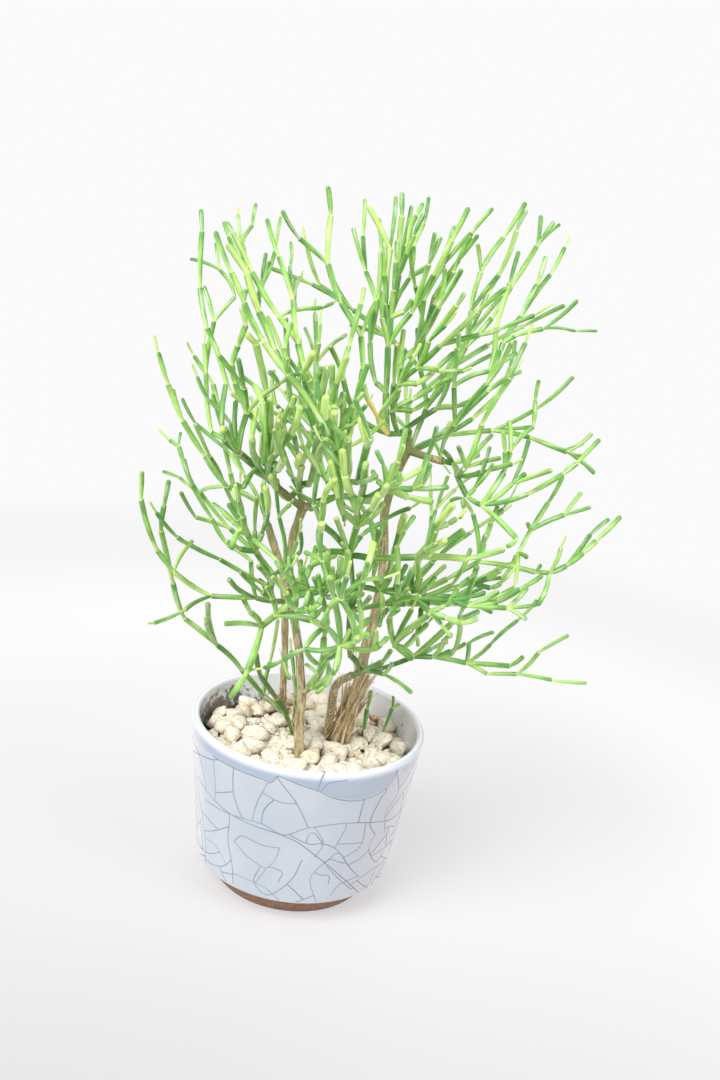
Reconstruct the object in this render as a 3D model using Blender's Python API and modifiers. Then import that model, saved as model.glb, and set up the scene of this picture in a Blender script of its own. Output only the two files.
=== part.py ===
"""A jointed rhipsalis in a glazed crackle pot, topped with pumice gravel.

Metres, +Z up. The origin is the middle of the pot's flat foot, and the photographed side faces -Y.
The plant is a tree of joints. The joints that show are read from the photograph as picture points,
each carried out along its sight line to a depth. The far side, and the twigs that point at the
viewer, are grown by seeded rules.
"""

import math
import random
from functools import partial

import bmesh
import bpy
import numpy as np
from mathutils import Matrix, Vector

MM = 0.001

# Pot: outer rim 120 mm across and 90 mm high, on a bare clay foot under the glaze
POT_HEIGHT = 90 * MM
RIM_RADIUS = 60 * MM
WALL = 4.1 * MM
GLAZE_END_RADIUS = 49.6 * MM
GLAZE_END_HEIGHT = 12.3 * MM
FOOT_RADIUS = 38.5 * MM
FLOOR_THICKNESS = 10 * MM
FLOOR_FILLET = 5 * MM
LIP_STEPS = 6
TURN_STEPS = 28
MERGE = 0.01 * MM

# Filling: potting mix, then a layer of pumice pebbles up to about 9 mm under the rim
GAP = 0.3 * MM
SOIL_TOP = 68 * MM
GRAVEL_BED_TOP = 75.5 * MM
GROUND = 79 * MM
WALL_GAP = 2 * GAP
PEBBLE_COUNT = 42
PEBBLE_RADIUS = (5.2 * MM, 7.4 * MM)
PEBBLE_BLOCK = 1.36
PEBBLE_LUMPS = (0.78, 1.12)
PEBBLE_LEAN = 0.5
PEBBLE_BREADTH = (0.74, 0.95)
PEBBLE_THICKNESS = (0.62, 0.8)
PEBBLE_RISE = (0.6 * MM, 2.6 * MM)
PEBBLE_SPACING = 10.8 * MM
PEBBLE_TRIES = 20000
PEBBLE_OFF_STEM = 0.8
HOLE_ROOM = 0.7 * MM
HOLE_RISE = 12 * MM
STEM_DEPTH = 26 * MM

# Where the photograph was taken from, in pixels of the 720 x 1080 picture and metres
PICTURE_CENTRE = (360, 540)
FOCAL_PIXELS = 1300
LOOKING_DOWN = math.radians(17.8)
TURNED_CLOCKWISE = math.radians(8.0)
DISTANCE_TO_RIM = 668 * MM
PIXEL_SPAN = DISTANCE_TO_RIM / FOCAL_PIXELS
AIM_OFFSET = (-26.0 * MM, -91.1 * MM)

# Twig segments: a narrow neck that widens to a flat tip, which the next neck stands on
SEGMENT_SIDES = 4
THIN_SIDES = 3
THIN_GIRTH = 1.75
NECK = 0.52
LAST_SEGMENT = 0.88
KNOT_FOOT = 0.9
ROOT_FOOT = 0.95
LONGEST_SEGMENT = 40 * MM
SINK = 0.4 * MM
CLEARANCE = 0.6 * MM
KNOT_LENGTH = 5 * MM
SNAP_PIXELS = 14
SETTLE_STEPS = 260
SETTLE_PUSH = 0.6
LARGEST_PUSH = 1.5 * MM
LARGEST_SHIFT = 2 * MM
SEED = 20
SHARP_ANGLE = math.radians(76)
FLAKE_ROOT = 1.3 * MM
FLAKE_TIP = 0.35 * MM
FLAKE_LEAN = 0.24
FLAKE_RISE = (0.15, 0.5)
FLAKE_SEAT = 0.55
FLAKE_LENGTHS = (0.7, 1.1)

COLOURS = {
    "pot": (0.62, 0.68, 0.76),
    "soil": (0.10, 0.07, 0.05),
    "gravel": (0.74, 0.66, 0.52),
    "bark": (0.36, 0.26, 0.15),
    "green": (0.22, 0.50, 0.10),
}
ROUGHNESS = {"pot": 0.15, "soil": 0.95, "gravel": 0.9, "bark": 0.85, "green": 0.45}


def clear_scene():
    for obj in list(bpy.data.objects):
        bpy.data.objects.remove(obj, do_unlink=True)


def material(name, kind):
    made = bpy.data.materials.new(name)
    made.use_nodes = True
    shader = made.node_tree.nodes["Principled BSDF"]
    shader.inputs["Base Color"].default_value = (*COLOURS[kind], 1)
    shader.inputs["Roughness"].default_value = ROUGHNESS[kind]
    shader.inputs["Metallic"].default_value = 0
    return made


def collection(name):
    made = bpy.data.collections.new(name)
    bpy.context.scene.collection.children.link(made)
    return made


def add_object(name, mesh, home):
    obj = bpy.data.objects.new(name, mesh)
    home.objects.link(obj)
    return obj


def evaluated_mesh(obj):
    bpy.context.view_layer.update()
    graph = bpy.context.evaluated_depsgraph_get()
    return bpy.data.meshes.new_from_object(obj.evaluated_get(graph))


def add_boolean(obj, operation, group):
    boolean = obj.modifiers.new(operation.lower(), "BOOLEAN")
    boolean.operation = operation
    boolean.solver = "MANIFOLD"
    boolean.operand_type = "COLLECTION"
    boolean.collection = group


def joined(name, pieces, kind, home, cutters=None):
    """One object made of pieces that overlap, less its cutters; the pieces are removed."""
    group = collection(name + "_pieces")
    for piece in pieces[1:]:
        group.objects.link(piece)
    if len(pieces) > 1:
        add_boolean(pieces[0], "UNION", group)
    if cutters:
        add_boolean(pieces[0], "DIFFERENCE", cutters)
    mesh = evaluated_mesh(pieces[0])
    for piece in pieces:
        bpy.data.objects.remove(piece, do_unlink=True)
    bpy.data.collections.remove(group)
    mesh.name = name
    mesh.materials.clear()
    mesh.materials.append(material(name, kind))
    for face in mesh.polygons:
        face.material_index = 0
    mesh.shade_smooth()
    mesh.set_sharp_from_angle(angle=SHARP_ANGLE)
    return add_object(name, mesh, home)


# The photograph's sight lines

def picture_axes():
    down = LOOKING_DOWN
    right = Vector((1, 0, 0))
    up = Vector((0, math.sin(down), math.cos(down)))
    ahead = Vector((0, math.cos(down), -math.sin(down)))
    roll = TURNED_CLOCKWISE
    right_rolled = right * math.cos(roll) + up * math.sin(roll)
    up_rolled = up * math.cos(roll) - right * math.sin(roll)
    return right_rolled, up_rolled, ahead


RIGHT, UP, AHEAD = picture_axes()
RIM_CENTRE = Vector((0, 0, POT_HEIGHT))
EYE = RIM_CENTRE - RIGHT * AIM_OFFSET[0] - UP * AIM_OFFSET[1] - AHEAD * DISTANCE_TO_RIM


def sight(spot):
    across = (spot[0] - PICTURE_CENTRE[0]) / FOCAL_PIXELS
    above = (PICTURE_CENTRE[1] - spot[1]) / FOCAL_PIXELS
    return AHEAD + RIGHT * across + UP * above


def at(spot, depth):
    """The point behind picture point spot that lies at y = depth."""
    line = sight(spot)
    return EYE + line * ((depth - EYE.y) / line.y)


def on_ground(spot):
    """The point behind picture point spot that lies on the gravel."""
    line = sight(spot)
    return EYE + line * ((GROUND - EYE.z) / line.z)


def seen_at(point):
    """The picture point where a point of the part shows."""
    away = point - EYE
    scale = FOCAL_PIXELS / away.dot(AHEAD)
    return (PICTURE_CENTRE[0] + away.dot(RIGHT) * scale, PICTURE_CENTRE[1] - away.dot(UP) * scale)


# Pot and filling

def inner_radius(height):
    """The pot's inner wall, which leans out with its outer wall."""
    slope = (RIM_RADIUS - GLAZE_END_RADIUS) / (POT_HEIGHT - GLAZE_END_HEIGHT)
    return RIM_RADIUS - WALL - (POT_HEIGHT - height) * slope


def arc(centre, radius, start, end, steps):
    angles = [math.radians(start + (end - start) * i / steps) for i in range(steps + 1)]
    return [(centre[0] + radius * math.cos(a), centre[1] + radius * math.sin(a)) for a in angles]


def turned(name, profile, home):
    mesh = bpy.data.meshes.new(name)
    edges = [(i, i + 1) for i in range(len(profile) - 1)]
    mesh.from_pydata([(r, 0, z) for r, z in profile], edges, [])
    obj = add_object(name, mesh, home)
    screw = obj.modifiers.new("turn", "SCREW")
    screw.steps = TURN_STEPS
    screw.render_steps = TURN_STEPS
    screw.use_merge_vertices = True
    screw.merge_threshold = MERGE
    screw.use_smooth_shade = True
    return obj


def make_pot(home):
    fillet_top = FLOOR_THICKNESS + FLOOR_FILLET
    fillet_centre = (inner_radius(fillet_top) - FLOOR_FILLET, fillet_top)
    lip_centre = (RIM_RADIUS - WALL / 2, POT_HEIGHT - WALL / 2)
    glaze_roll = 0.8 * MM
    roll_centre = (GLAZE_END_RADIUS - 0.2 * MM, GLAZE_END_HEIGHT + glaze_roll)
    profile = [(0, FLOOR_THICKNESS)]
    profile += arc(fillet_centre, FLOOR_FILLET, -90, -8, 3)
    profile += arc(lip_centre, WALL / 2, 180, 0, LIP_STEPS)
    profile += arc(roll_centre, glaze_roll, 0, -90, 2)
    profile += [(FOOT_RADIUS + 1.0 * MM, 0.9 * MM), (FOOT_RADIUS, 0), (0, 0)]
    pot = turned("pot", profile, home)
    pot.data.materials.append(material("pot", "pot"))
    return pot


def make_soil(home, cutters):
    foot_height = FLOOR_THICKNESS + GAP
    low_height = foot_height + FLOOR_FILLET
    profile = [
        (0, SOIL_TOP),
        (inner_radius(SOIL_TOP) - GAP, SOIL_TOP),
        (inner_radius(low_height) - GAP, low_height),
        (inner_radius(foot_height) - FLOOR_FILLET, foot_height),
        (0, foot_height),
    ]
    return joined("soil", [turned("soil_body", profile, home)], "soil", home, cutters)


def pebble(place, radius, draw, home):
    shape = bmesh.new()
    bmesh.ops.create_cube(shape, size=radius * PEBBLE_BLOCK)
    for vert in shape.verts:
        vert.co *= draw.uniform(*PEBBLE_LUMPS)
    spin = Matrix.Rotation(draw.uniform(0, 2 * math.pi), 4, "Z")
    lean = Matrix.Rotation(draw.uniform(-PEBBLE_LEAN, PEBBLE_LEAN), 4, "X")
    squash = Matrix.Diagonal((1, draw.uniform(*PEBBLE_BREADTH), draw.uniform(*PEBBLE_THICKNESS), 1))
    shape.transform(Matrix.Translation(place) @ spin @ lean @ squash)
    mesh = bpy.data.meshes.new("pebble")
    shape.to_mesh(mesh)
    shape.free()
    return add_object("pebble", mesh, home)


def make_gravel(home, cutters, stem_spots):
    """A bed with pebbles standing out of it, kept off the stems and the wall."""
    draw = random.Random(SEED)
    bed_bottom = SOIL_TOP + GAP
    profile = [
        (0, GRAVEL_BED_TOP),
        (inner_radius(GRAVEL_BED_TOP) - WALL_GAP, GRAVEL_BED_TOP),
        (inner_radius(bed_bottom) - WALL_GAP, bed_bottom),
        (0, bed_bottom),
    ]
    pieces = [turned("gravel_bed", profile, home)]
    taken = []
    tries = 0
    while len(taken) < PEBBLE_COUNT and tries < PEBBLE_TRIES:
        tries += 1
        radius = draw.uniform(*PEBBLE_RADIUS)
        reach = inner_radius(GRAVEL_BED_TOP) - radius * PEBBLE_LUMPS[1] - WALL_GAP
        distance = reach * math.sqrt(draw.random())
        angle = draw.uniform(0, 2 * math.pi)
        x = distance * math.cos(angle)
        y = distance * math.sin(angle)
        near_pebble = any(math.hypot(x - a, y - b) < PEBBLE_SPACING for a, b in taken)
        room = radius * PEBBLE_OFF_STEM
        near_stem = any(math.hypot(x - a, y - b) < size + room for a, b, size in stem_spots)
        if near_pebble or near_stem:
            continue
        taken.append((x, y))
        height = GRAVEL_BED_TOP + draw.uniform(*PEBBLE_RISE)
        pieces.append(pebble(Vector((x, y, height)), radius, draw, home))
    return joined("gravel", pieces, "gravel", home, cutters)


# Woody stems

class Stem:
    """A bark-covered stem: rods between fixed points, which other pieces keep clear of."""

    def __init__(self, name):
        self.name = name
        self.runs = []
        self.ends = {}

    def run(self, points, radii):
        self.runs.append((points, radii))
        return points

    def end(self, label, points):
        self.ends[label] = (points[-1], (points[-1] - points[-2]).normalized())


def below(top, onward, depth):
    """The foot of a stem: its lowest stretch carried on down into the potting mix."""
    lean = (top - onward).normalized()
    lean = Vector((lean.x * 0.5, lean.y * 0.5, -1)).normalized()
    return top + lean * depth


def along(spots, depths):
    return [at(spot, depth * MM) for spot, depth in zip(spots, depths)]


def woody_stems():
    """The stems with bark: two slim ones at the left, a stout one at the right, a bare one."""
    left = Stem("stem_left")
    rise = [(299, 726), (302, 693), (299, 650), (291, 600), (289, 565), (293, 535), (303, 508)]
    base = on_ground((299, 750))
    rise_depths = [-14, -13, -12, -12, -12, -13, -15]
    points = [below(base, at(rise[0], -14 * MM), STEM_DEPTH), base] + along(rise, rise_depths)
    left.run(points, [2.6, 2.5, 2.4, 2.2, 2.0, 2.1, 2.0, 2.0, 2.1])
    fork_left = left.run([points[-1]] + along([(290, 498), (276, 486)], [-18, -22]), [1.9, 1.6, 1.5])
    fork_right = left.run([points[-1]] + along([(318, 502), (331, 498)], [-20, -26]), [1.9, 1.7, 1.6])
    fork_up = left.run([points[-1], at((301, 499), -12 * MM)], [1.7, 1.5])
    side = left.run([points[5], at((283, 601), -16 * MM)], [1.7, 1.6])
    low = left.run([points[3], at((308, 690), -19 * MM)], [1.5, 1.3])
    left.end("fork_left", fork_left)
    left.end("fork_right", fork_right)
    left.end("fork_up", fork_up)
    left.end("side", side)
    left.end("low", low)

    slim = Stem("stem_slim")
    rise = [(283, 690), (285, 650), (285, 611), (283, 573), (272, 539), (268, 525)]
    base = on_ground((283, 708))
    points = [below(base, at(rise[0], 12 * MM), STEM_DEPTH), base] + along(rise, [10, 6, 3, 2, 0, -2])
    slim.run(points, [2.0, 1.9, 1.8, 1.7, 1.8, 2.0, 1.9, 1.8])
    back = slim.run([points[4], points[4] + Vector((-2, 9, 4)) * MM], [1.5, 1.4])
    slim.end("top", points)
    slim.end("back", back)

    stout = Stem("stem_stout")
    rise = [(349, 708), (360, 685), (363, 659), (371, 630), (377, 604), (381, 583), (384, 553)]
    rise += [(384, 515), (394, 476), (405, 457), (407, 450), (408, 440)]
    base = on_ground((341, 734))
    depths = [3, 4, 5, 5, 6, 6, 6, 4, 2, 0, 0, 0]
    points = [below(base, at(rise[0], 3 * MM), STEM_DEPTH), base] + along(rise, depths)
    stout.run(points, [4.6, 5.0, 4.5, 3.6, 2.8, 2.5, 2.3, 2.2, 2.2, 2.1, 2.0, 2.0, 2.3, 1.8])
    side = stout.run([points[-2]] + along([(433, 459), (443, 461)], [-3, -5]), [1.9, 1.8, 1.8])
    low_back = stout.run([points[5], points[5] + Vector((5, 10, 5)) * MM], [1.7, 1.6])
    mid_back = stout.run([points[8], points[8] + Vector((-4, 10, 5)) * MM], [1.7, 1.6])
    high_back = stout.run([points[10], points[10] + Vector((4, 9, 6)) * MM], [1.6, 1.5])
    stout.end("top", points)
    stout.end("side", side)
    stout.end("low_back", low_back)
    stout.end("mid_back", mid_back)
    stout.end("high_back", high_back)

    bare = Stem("stem_bare")
    rise = [(334, 690), (339, 681), (353, 675)]
    base = on_ground((328, 731))
    points = [below(base, at(rise[0], -12 * MM), STEM_DEPTH), base] + along(rise, [-14, -16, -19])
    bare.run(points, [2.2, 2.1, 2.0, 2.0, 1.9])
    bare.end("top", points)
    return {stem.name: stem for stem in (left, slim, stout, bare)}


# Green twigs

class Plant:
    """Joints and the segments between them; a joint read from the picture keeps its sight line."""

    def __init__(self):
        self.points = []
        self.spots = []
        self.free = []
        self.node = []
        self.roots = set()
        self.segments = []
        self.own_stem = {}

    def joint(self, node, point, spot=None):
        self.points.append(point)
        self.spots.append(spot if spot else seen_at(point))
        self.free.append(spot is not None)
        self.node.append(node)
        return len(self.points) - 1

    def segment(self, start, end, neck, tip, node):
        self.segments.append((start, end, neck, tip, node))

    def nearest(self, node, spot):
        own = [i for i, name in enumerate(self.node) if name == node and i not in self.roots]
        best = min(own, key=lambda i: math.dist(self.spots[i], spot))
        if math.dist(self.spots[best], spot) > SNAP_PIXELS:
            raise ValueError(f"{node}: no joint near {spot}, nearest {self.spots[best]}")
        return best


def knot(plant, node, stem, label, girth):
    """The green joint that a spray starts from, just off a woody end."""
    point, heading = stem.ends[label]
    start = plant.joint(node, point + heading * GAP)
    finish = plant.joint(node, point + heading * KNOT_LENGTH)
    plant.roots.add(start)
    plant.own_stem[len(plant.segments)] = stem.name
    plant.segment(start, finish, girth * KNOT_FOOT, girth, node)


def rooted(plant, node, spot, onward, girth, depth=STEM_DEPTH):
    """A green stem that stands in the soil by itself."""
    ground = on_ground(spot)
    foot = plant.joint(node, below(ground, at(onward, ground.y), depth))
    top = plant.joint(node, ground)
    plant.roots.add(foot)
    plant.segment(foot, top, girth * ROOT_FOOT, girth, node)


def twig(plant, node, girth, depth, *spots):
    """A twig from the joint nearest its first spot, ending at depth (mm), one joint a spot."""
    start = plant.nearest(node, spots[0])
    start_depth = plant.points[start].y
    path = [plant.spots[start]] + list(spots[1:])
    lengths = [math.dist(a, b) for a, b in zip(path, path[1:])]
    total = sum(lengths)
    walked = 0
    before = start
    for index, length in enumerate(lengths):
        pieces = max(1, math.ceil(length * PIXEL_SPAN / LONGEST_SEGMENT))
        for piece in range(1, pieces + 1):
            share = piece / pieces
            a, b = path[index], path[index + 1]
            spot = (a[0] + (b[0] - a[0]) * share, a[1] + (b[1] - a[1]) * share)
            part = (walked + length * share) / total
            here = start_depth + (depth * MM - start_depth) * part
            joint = plant.joint(node, at(spot, here), spot)
            last = index == len(lengths) - 1 and piece == pieces
            size = girth * (LAST_SEGMENT if last else 1.0)
            plant.segment(before, joint, size * NECK, size, node)
            before = joint
        walked += length


def left_spray(plant, stems):
    node = "spray_left"
    knot(plant, node, stems["stem_left"], "side", 1.7)
    put = partial(twig, plant, node)
    put(1.5, -32, (280, 602), (256, 598), (211, 596), (174, 572), (157, 550), (141, 499), (142, 471))
    put(1.7, -48, (256, 598), (229, 579))
    put(1.3, -6, (256, 598), (251, 561), (228, 545), (212, 519), (192, 485), (179, 447), (169, 440))
    put(0.9, -4, (179, 447), (181, 432))
    put(1.3, -50, (280, 602), (263, 584), (219, 559), (190, 545), (177, 537), (156, 512))
    put(1.4, -30, (174, 572), (193, 540))
    put(1.3, -66, (211, 597), (185, 610), (154, 623))
    put(1.7, -52, (280, 602), (270, 578), (256, 552), (247, 534))
    put(1.8, -62, (247, 534), (239, 530), (231, 550))
    put(1.3, -40, (247, 534), (212, 503))
    put(1.4, -44, (247, 534), (240, 514), (237, 482))
    put(1.3, -60, (256, 552), (255, 531), (257, 497))
    put(1.2, -40, (270, 578), (284, 568), (279, 517), (276, 489))
    put(1.4, -46, (279, 517), (290, 505))


def low_left_spray(plant):
    node = "spray_low_left"
    rooted(plant, node, (286, 717), (266, 698), 1.7)
    put = partial(twig, plant, node)
    put(1.6, -22, (286, 717), (264, 696), (241, 669), (217, 645), (184, 618), (173, 583), (161, 530),
        (164, 506), (169, 480))
    put(1.7, -45, (217, 645), (208, 604))
    put(1.4, -38, (217, 645), (206, 623))


def front_spray(plant):
    node = "spray_front"
    rooted(plant, node, (293, 734), (276, 698), 1.6)
    put = partial(twig, plant, node)
    put(1.6, -48, (293, 734), (276, 698), (261, 677), (256, 654), (262, 627))
    put(1.6, -62, (262, 627), (224, 624))
    put(1.9, -76, (262, 627), (247, 672), (230, 698))
    put(1.9, -68, (262, 627), (276, 615), (311, 620), (327, 627), (340, 645))
    put(1.9, -76, (340, 645), (335, 672))
    put(1.7, -80, (340, 645), (333, 594), (332, 566))
    put(1.7, -66, (340, 645), (372, 650))
    put(1.8, -86, (340, 645), (355, 642), (341, 598))
    put(1.4, -62, (340, 645), (305, 649), (283, 660), (263, 668))
    put(1.3, -64, (283, 660), (290, 680))
    put(1.4, -74, (311, 620), (309, 590), (300, 570))
    put(1.4, -80, (327, 627), (322, 597), (318, 574))
    put(1.5, -84, (333, 594), (322, 560), (321, 532))
    put(1.4, -82, (341, 598), (362, 581), (384, 578))
    put(1.4, -60, (276, 615), (296, 596), (304, 566))


def low_centre_spray(plant, stems):
    node = "spray_low_centre"
    knot(plant, node, stems["stem_left"], "low", 1.3)
    put = partial(twig, plant, node)
    put(1.3, -30, (313, 687), (328, 659))
    put(1.3, -34, (313, 687), (334, 671))


def slim_spray(plant, stems):
    node = "spray_slim"
    knot(plant, node, stems["stem_slim"], "top", 1.7)
    put = partial(twig, plant, node)
    put(1.6, 14, (266, 517), (262, 505), (228, 487), (205, 456), (183, 421), (168, 384), (158, 352))
    put(1.2, 22, (262, 505), (245, 476), (230, 453))
    put(1.2, 36, (230, 453), (196, 424), (182, 398))
    put(1.3, 24, (262, 505), (270, 450), (262, 421), (250, 396))
    put(1.2, 34, (270, 450), (287, 420), (290, 392))
    put(1.2, 44, (262, 421), (232, 394), (222, 364))
    put(1.2, 40, (228, 487), (199, 492), (180, 478))


def crown_left_spray(plant, stems):
    node = "spray_crown_left"
    knot(plant, node, stems["stem_left"], "fork_left", 1.7)
    put = partial(twig, plant, node)
    put(2.0, -44, (270, 482), (239, 453), (224, 440))
    put(1.4, -10, (224, 440), (226, 384), (207, 328), (200, 288), (202, 231), (201, 209))
    put(1.3, 16, (224, 440), (212, 433), (206, 373), (214, 322), (204, 286))
    put(1.1, 24, (214, 322), (235, 297), (220, 270), (190, 259))
    put(1.1, 30, (220, 270), (216, 243))
    put(1.6, -52, (239, 453), (226, 429))
    put(1.6, -34, (239, 453), (247, 413), (235, 383), (232, 365), (238, 346), (246, 325), (241, 307))
    put(1.3, -58, (247, 413), (279, 384), (304, 371))
    put(1.6, -48, (247, 413), (244, 388), (238, 358))
    put(1.5, -30, (239, 453), (236, 400))
    put(1.3, -28, (239, 453), (231, 424), (209, 400), (197, 376))
    put(1.9, -74, (270, 482), (252, 439))
    put(1.9, -40, (270, 482), (271, 466), (267, 394), (256, 344), (246, 333))
    put(1.3, -22, (256, 344), (263, 338))
    put(1.9, -72, (271, 466), (262, 402))
    put(1.8, -84, (270, 482), (277, 453), (284, 429))
    put(1.7, -86, (271, 466), (279, 417))
    put(1.7, -60, (270, 482), (254, 470), (243, 488))


def centre_spray(plant, stems):
    node = "spray_centre"
    knot(plant, node, stems["stem_left"], "fork_up", 1.7)
    put = partial(twig, plant, node)
    put(2.0, -62, (300, 492), (309, 484), (320, 455), (328, 438))
    put(1.8, -58, (300, 492), (298, 467))
    put(1.6, -8, (300, 492), (302, 465), (313, 430), (306, 408), (296, 380))
    put(1.5, -4, (302, 465), (288, 443), (281, 415))
    put(1.3, 20, (288, 443), (297, 420), (300, 398))


def crown_spray(plant, stems):
    node = "spray_crown"
    knot(plant, node, stems["stem_left"], "fork_right", 1.7)
    put = partial(twig, plant, node)
    put(2.0, -66, (337, 496), (340, 489), (334, 447))
    put(1.8, -82, (334, 447), (333, 426))
    put(2.0, -92, (340, 489), (347, 472), (348, 439))
    put(1.9, -90, (337, 496), (360, 500), (365, 466))
    put(1.7, -100, (340, 489), (357, 482), (376, 476))
    put(2.0, -84, (360, 500), (385, 489), (399, 482))
    put(1.9, -76, (385, 489), (408, 497), (434, 502))
    put(1.6, -60, (385, 489), (412, 489), (449, 487))
    put(1.9, -34, (334, 447), (315, 410), (288, 375), (275, 351), (259, 312), (247, 274), (227, 244))
    put(1.3, -6, (247, 274), (229, 238), (224, 222))
    put(1.6, -44, (288, 375), (264, 342), (244, 303), (231, 272), (215, 231))
    put(1.9, -52, (334, 447), (321, 416), (316, 392), (304, 367))
    put(1.5, -24, (304, 367), (298, 344), (279, 317), (252, 272), (233, 233), (226, 222))
    put(1.4, 4, (298, 344), (293, 300), (279, 257), (267, 219))
    put(1.3, 8, (293, 300), (301, 277))
    put(1.2, 30, (293, 300), (290, 267), (291, 242))
    put(1.2, -8, (279, 317), (322, 308), (333, 303))
    put(1.4, 22, (259, 312), (262, 286), (266, 254))
    put(1.2, 44, (262, 286), (275, 252), (281, 217))
    put(1.2, 30, (247, 274), (252, 226), (256, 204))
    put(1.2, 44, (247, 274), (243, 246), (238, 215))
    put(1.5, 6, (321, 416), (316, 364), (315, 313))
    put(1.3, 22, (316, 364), (346, 335))
    put(1.2, 18, (316, 364), (305, 328))
    put(1.8, -64, (321, 416), (321, 366))
    put(1.8, -70, (321, 416), (329, 366))
    put(1.7, -72, (334, 447), (331, 411), (337, 383))
    put(1.7, -66, (334, 447), (341, 428), (343, 394))
    put(1.6, -12, (340, 489), (346, 452), (348, 433), (357, 399), (363, 369), (361, 336), (341, 303),
        (328, 264), (331, 215), (328, 186))
    put(1.3, -26, (328, 264), (299, 238), (282, 210))
    put(1.3, 46, (361, 336), (376, 302), (366, 272), (363, 237), (365, 199))


def top_spray(plant, stems):
    node = "spray_top"
    knot(plant, node, stems["stem_stout"], "top", 2.0)
    put = partial(twig, plant, node)
    put(1.8, -12, (409, 431), (399, 434), (388, 434))
    put(1.5, -50, (388, 434), (359, 419), (343, 378), (330, 346))
    put(1.4, -20, (343, 378), (349, 346), (361, 304), (364, 287))
    put(1.8, 12, (388, 434), (386, 393), (388, 347), (386, 305), (390, 249), (368, 206))
    put(1.4, 46, (390, 249), (396, 197))
    put(1.5, 34, (386, 393), (376, 383), (370, 343), (378, 300), (381, 252), (378, 218))
    put(1.6, 14, (388, 347), (391, 318), (399, 275), (402, 216), (402, 192))
    put(1.4, 30, (399, 275), (403, 246), (416, 216), (423, 203))
    put(1.3, 44, (391, 318), (409, 279), (414, 247))
    put(1.6, 4, (388, 347), (411, 313), (434, 275), (452, 240), (469, 207))
    put(1.4, -10, (411, 313), (429, 264), (435, 232))
    put(1.4, 24, (434, 275), (454, 226))
    put(1.5, -44, (399, 434), (392, 410), (394, 384), (397, 344))
    put(1.6, -10, (392, 410), (399, 385), (416, 369))
    put(1.4, -46, (416, 369), (441, 371), (464, 371))
    put(1.5, 10, (399, 385), (400, 364), (415, 349))
    put(1.4, 16, (415, 349), (424, 300), (444, 264), (472, 233), (493, 208))
    put(1.5, -4, (415, 349), (434, 304), (454, 271), (471, 236))
    put(1.6, -16, (415, 349), (439, 307), (462, 269))
    put(1.5, -30, (416, 369), (429, 341), (457, 305), (465, 293))
    put(1.3, -24, (429, 341), (446, 325))
    put(1.6, -40, (416, 369), (440, 346), (478, 311), (506, 288))
    put(1.4, -26, (440, 346), (480, 335), (500, 329), (535, 315))
    put(1.5, -6, (399, 434), (436, 409), (450, 376))
    put(1.4, 20, (450, 376), (466, 347), (492, 318), (511, 287), (537, 246), (541, 215))
    put(1.1, 26, (537, 246), (560, 224))
    put(1.4, 8, (466, 347), (471, 311), (481, 272), (504, 237), (526, 202))
    put(1.4, -12, (471, 311), (499, 275), (517, 230), (527, 210))
    put(1.5, -56, (388, 434), (378, 418), (367, 398))


def right_spray(plant, stems):
    node = "spray_right"
    knot(plant, node, stems["stem_stout"], "side", 1.7)
    put = partial(twig, plant, node)
    put(1.4, -30, (449, 462), (442, 450), (455, 425), (454, 386), (458, 348), (459, 332))
    put(1.6, -38, (455, 425), (487, 384), (512, 342))
    put(1.4, 2, (454, 386), (489, 371), (496, 327), (510, 283), (519, 251))
    put(1.5, 12, (489, 371), (503, 343), (521, 317), (537, 285), (546, 256))
    put(1.3, 26, (521, 317), (550, 275), (565, 247))
    put(1.3, -6, (503, 343), (515, 336), (543, 329), (578, 300))
    put(0.9, 10, (543, 329), (575, 331), (597, 331))
    put(1.4, -20, (455, 425), (488, 391), (510, 376), (522, 371))
    put(1.7, -30, (449, 462), (457, 476), (465, 468))
    put(1.4, -44, (465, 468), (458, 446))
    put(1.5, -22, (465, 468), (501, 458))
    put(1.5, 8, (465, 468), (492, 435))
    put(1.5, -34, (465, 468), (482, 424), (510, 378), (526, 342))
    put(1.5, -34, (457, 476), (482, 473), (513, 464))
    put(1.6, -34, (457, 476), (467, 496), (481, 505))
    put(1.6, -22, (481, 505), (504, 472), (510, 452), (509, 420))
    put(1.3, 4, (510, 452), (533, 427), (535, 401), (539, 380))
    put(1.5, -16, (481, 505), (528, 494), (563, 474), (577, 463), (600, 439))
    put(1.5, -50, (481, 505), (517, 539), (506, 547))
    put(1.4, -24, (481, 505), (512, 484), (529, 439))
    put(1.5, -46, (512, 484), (552, 470))


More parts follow.
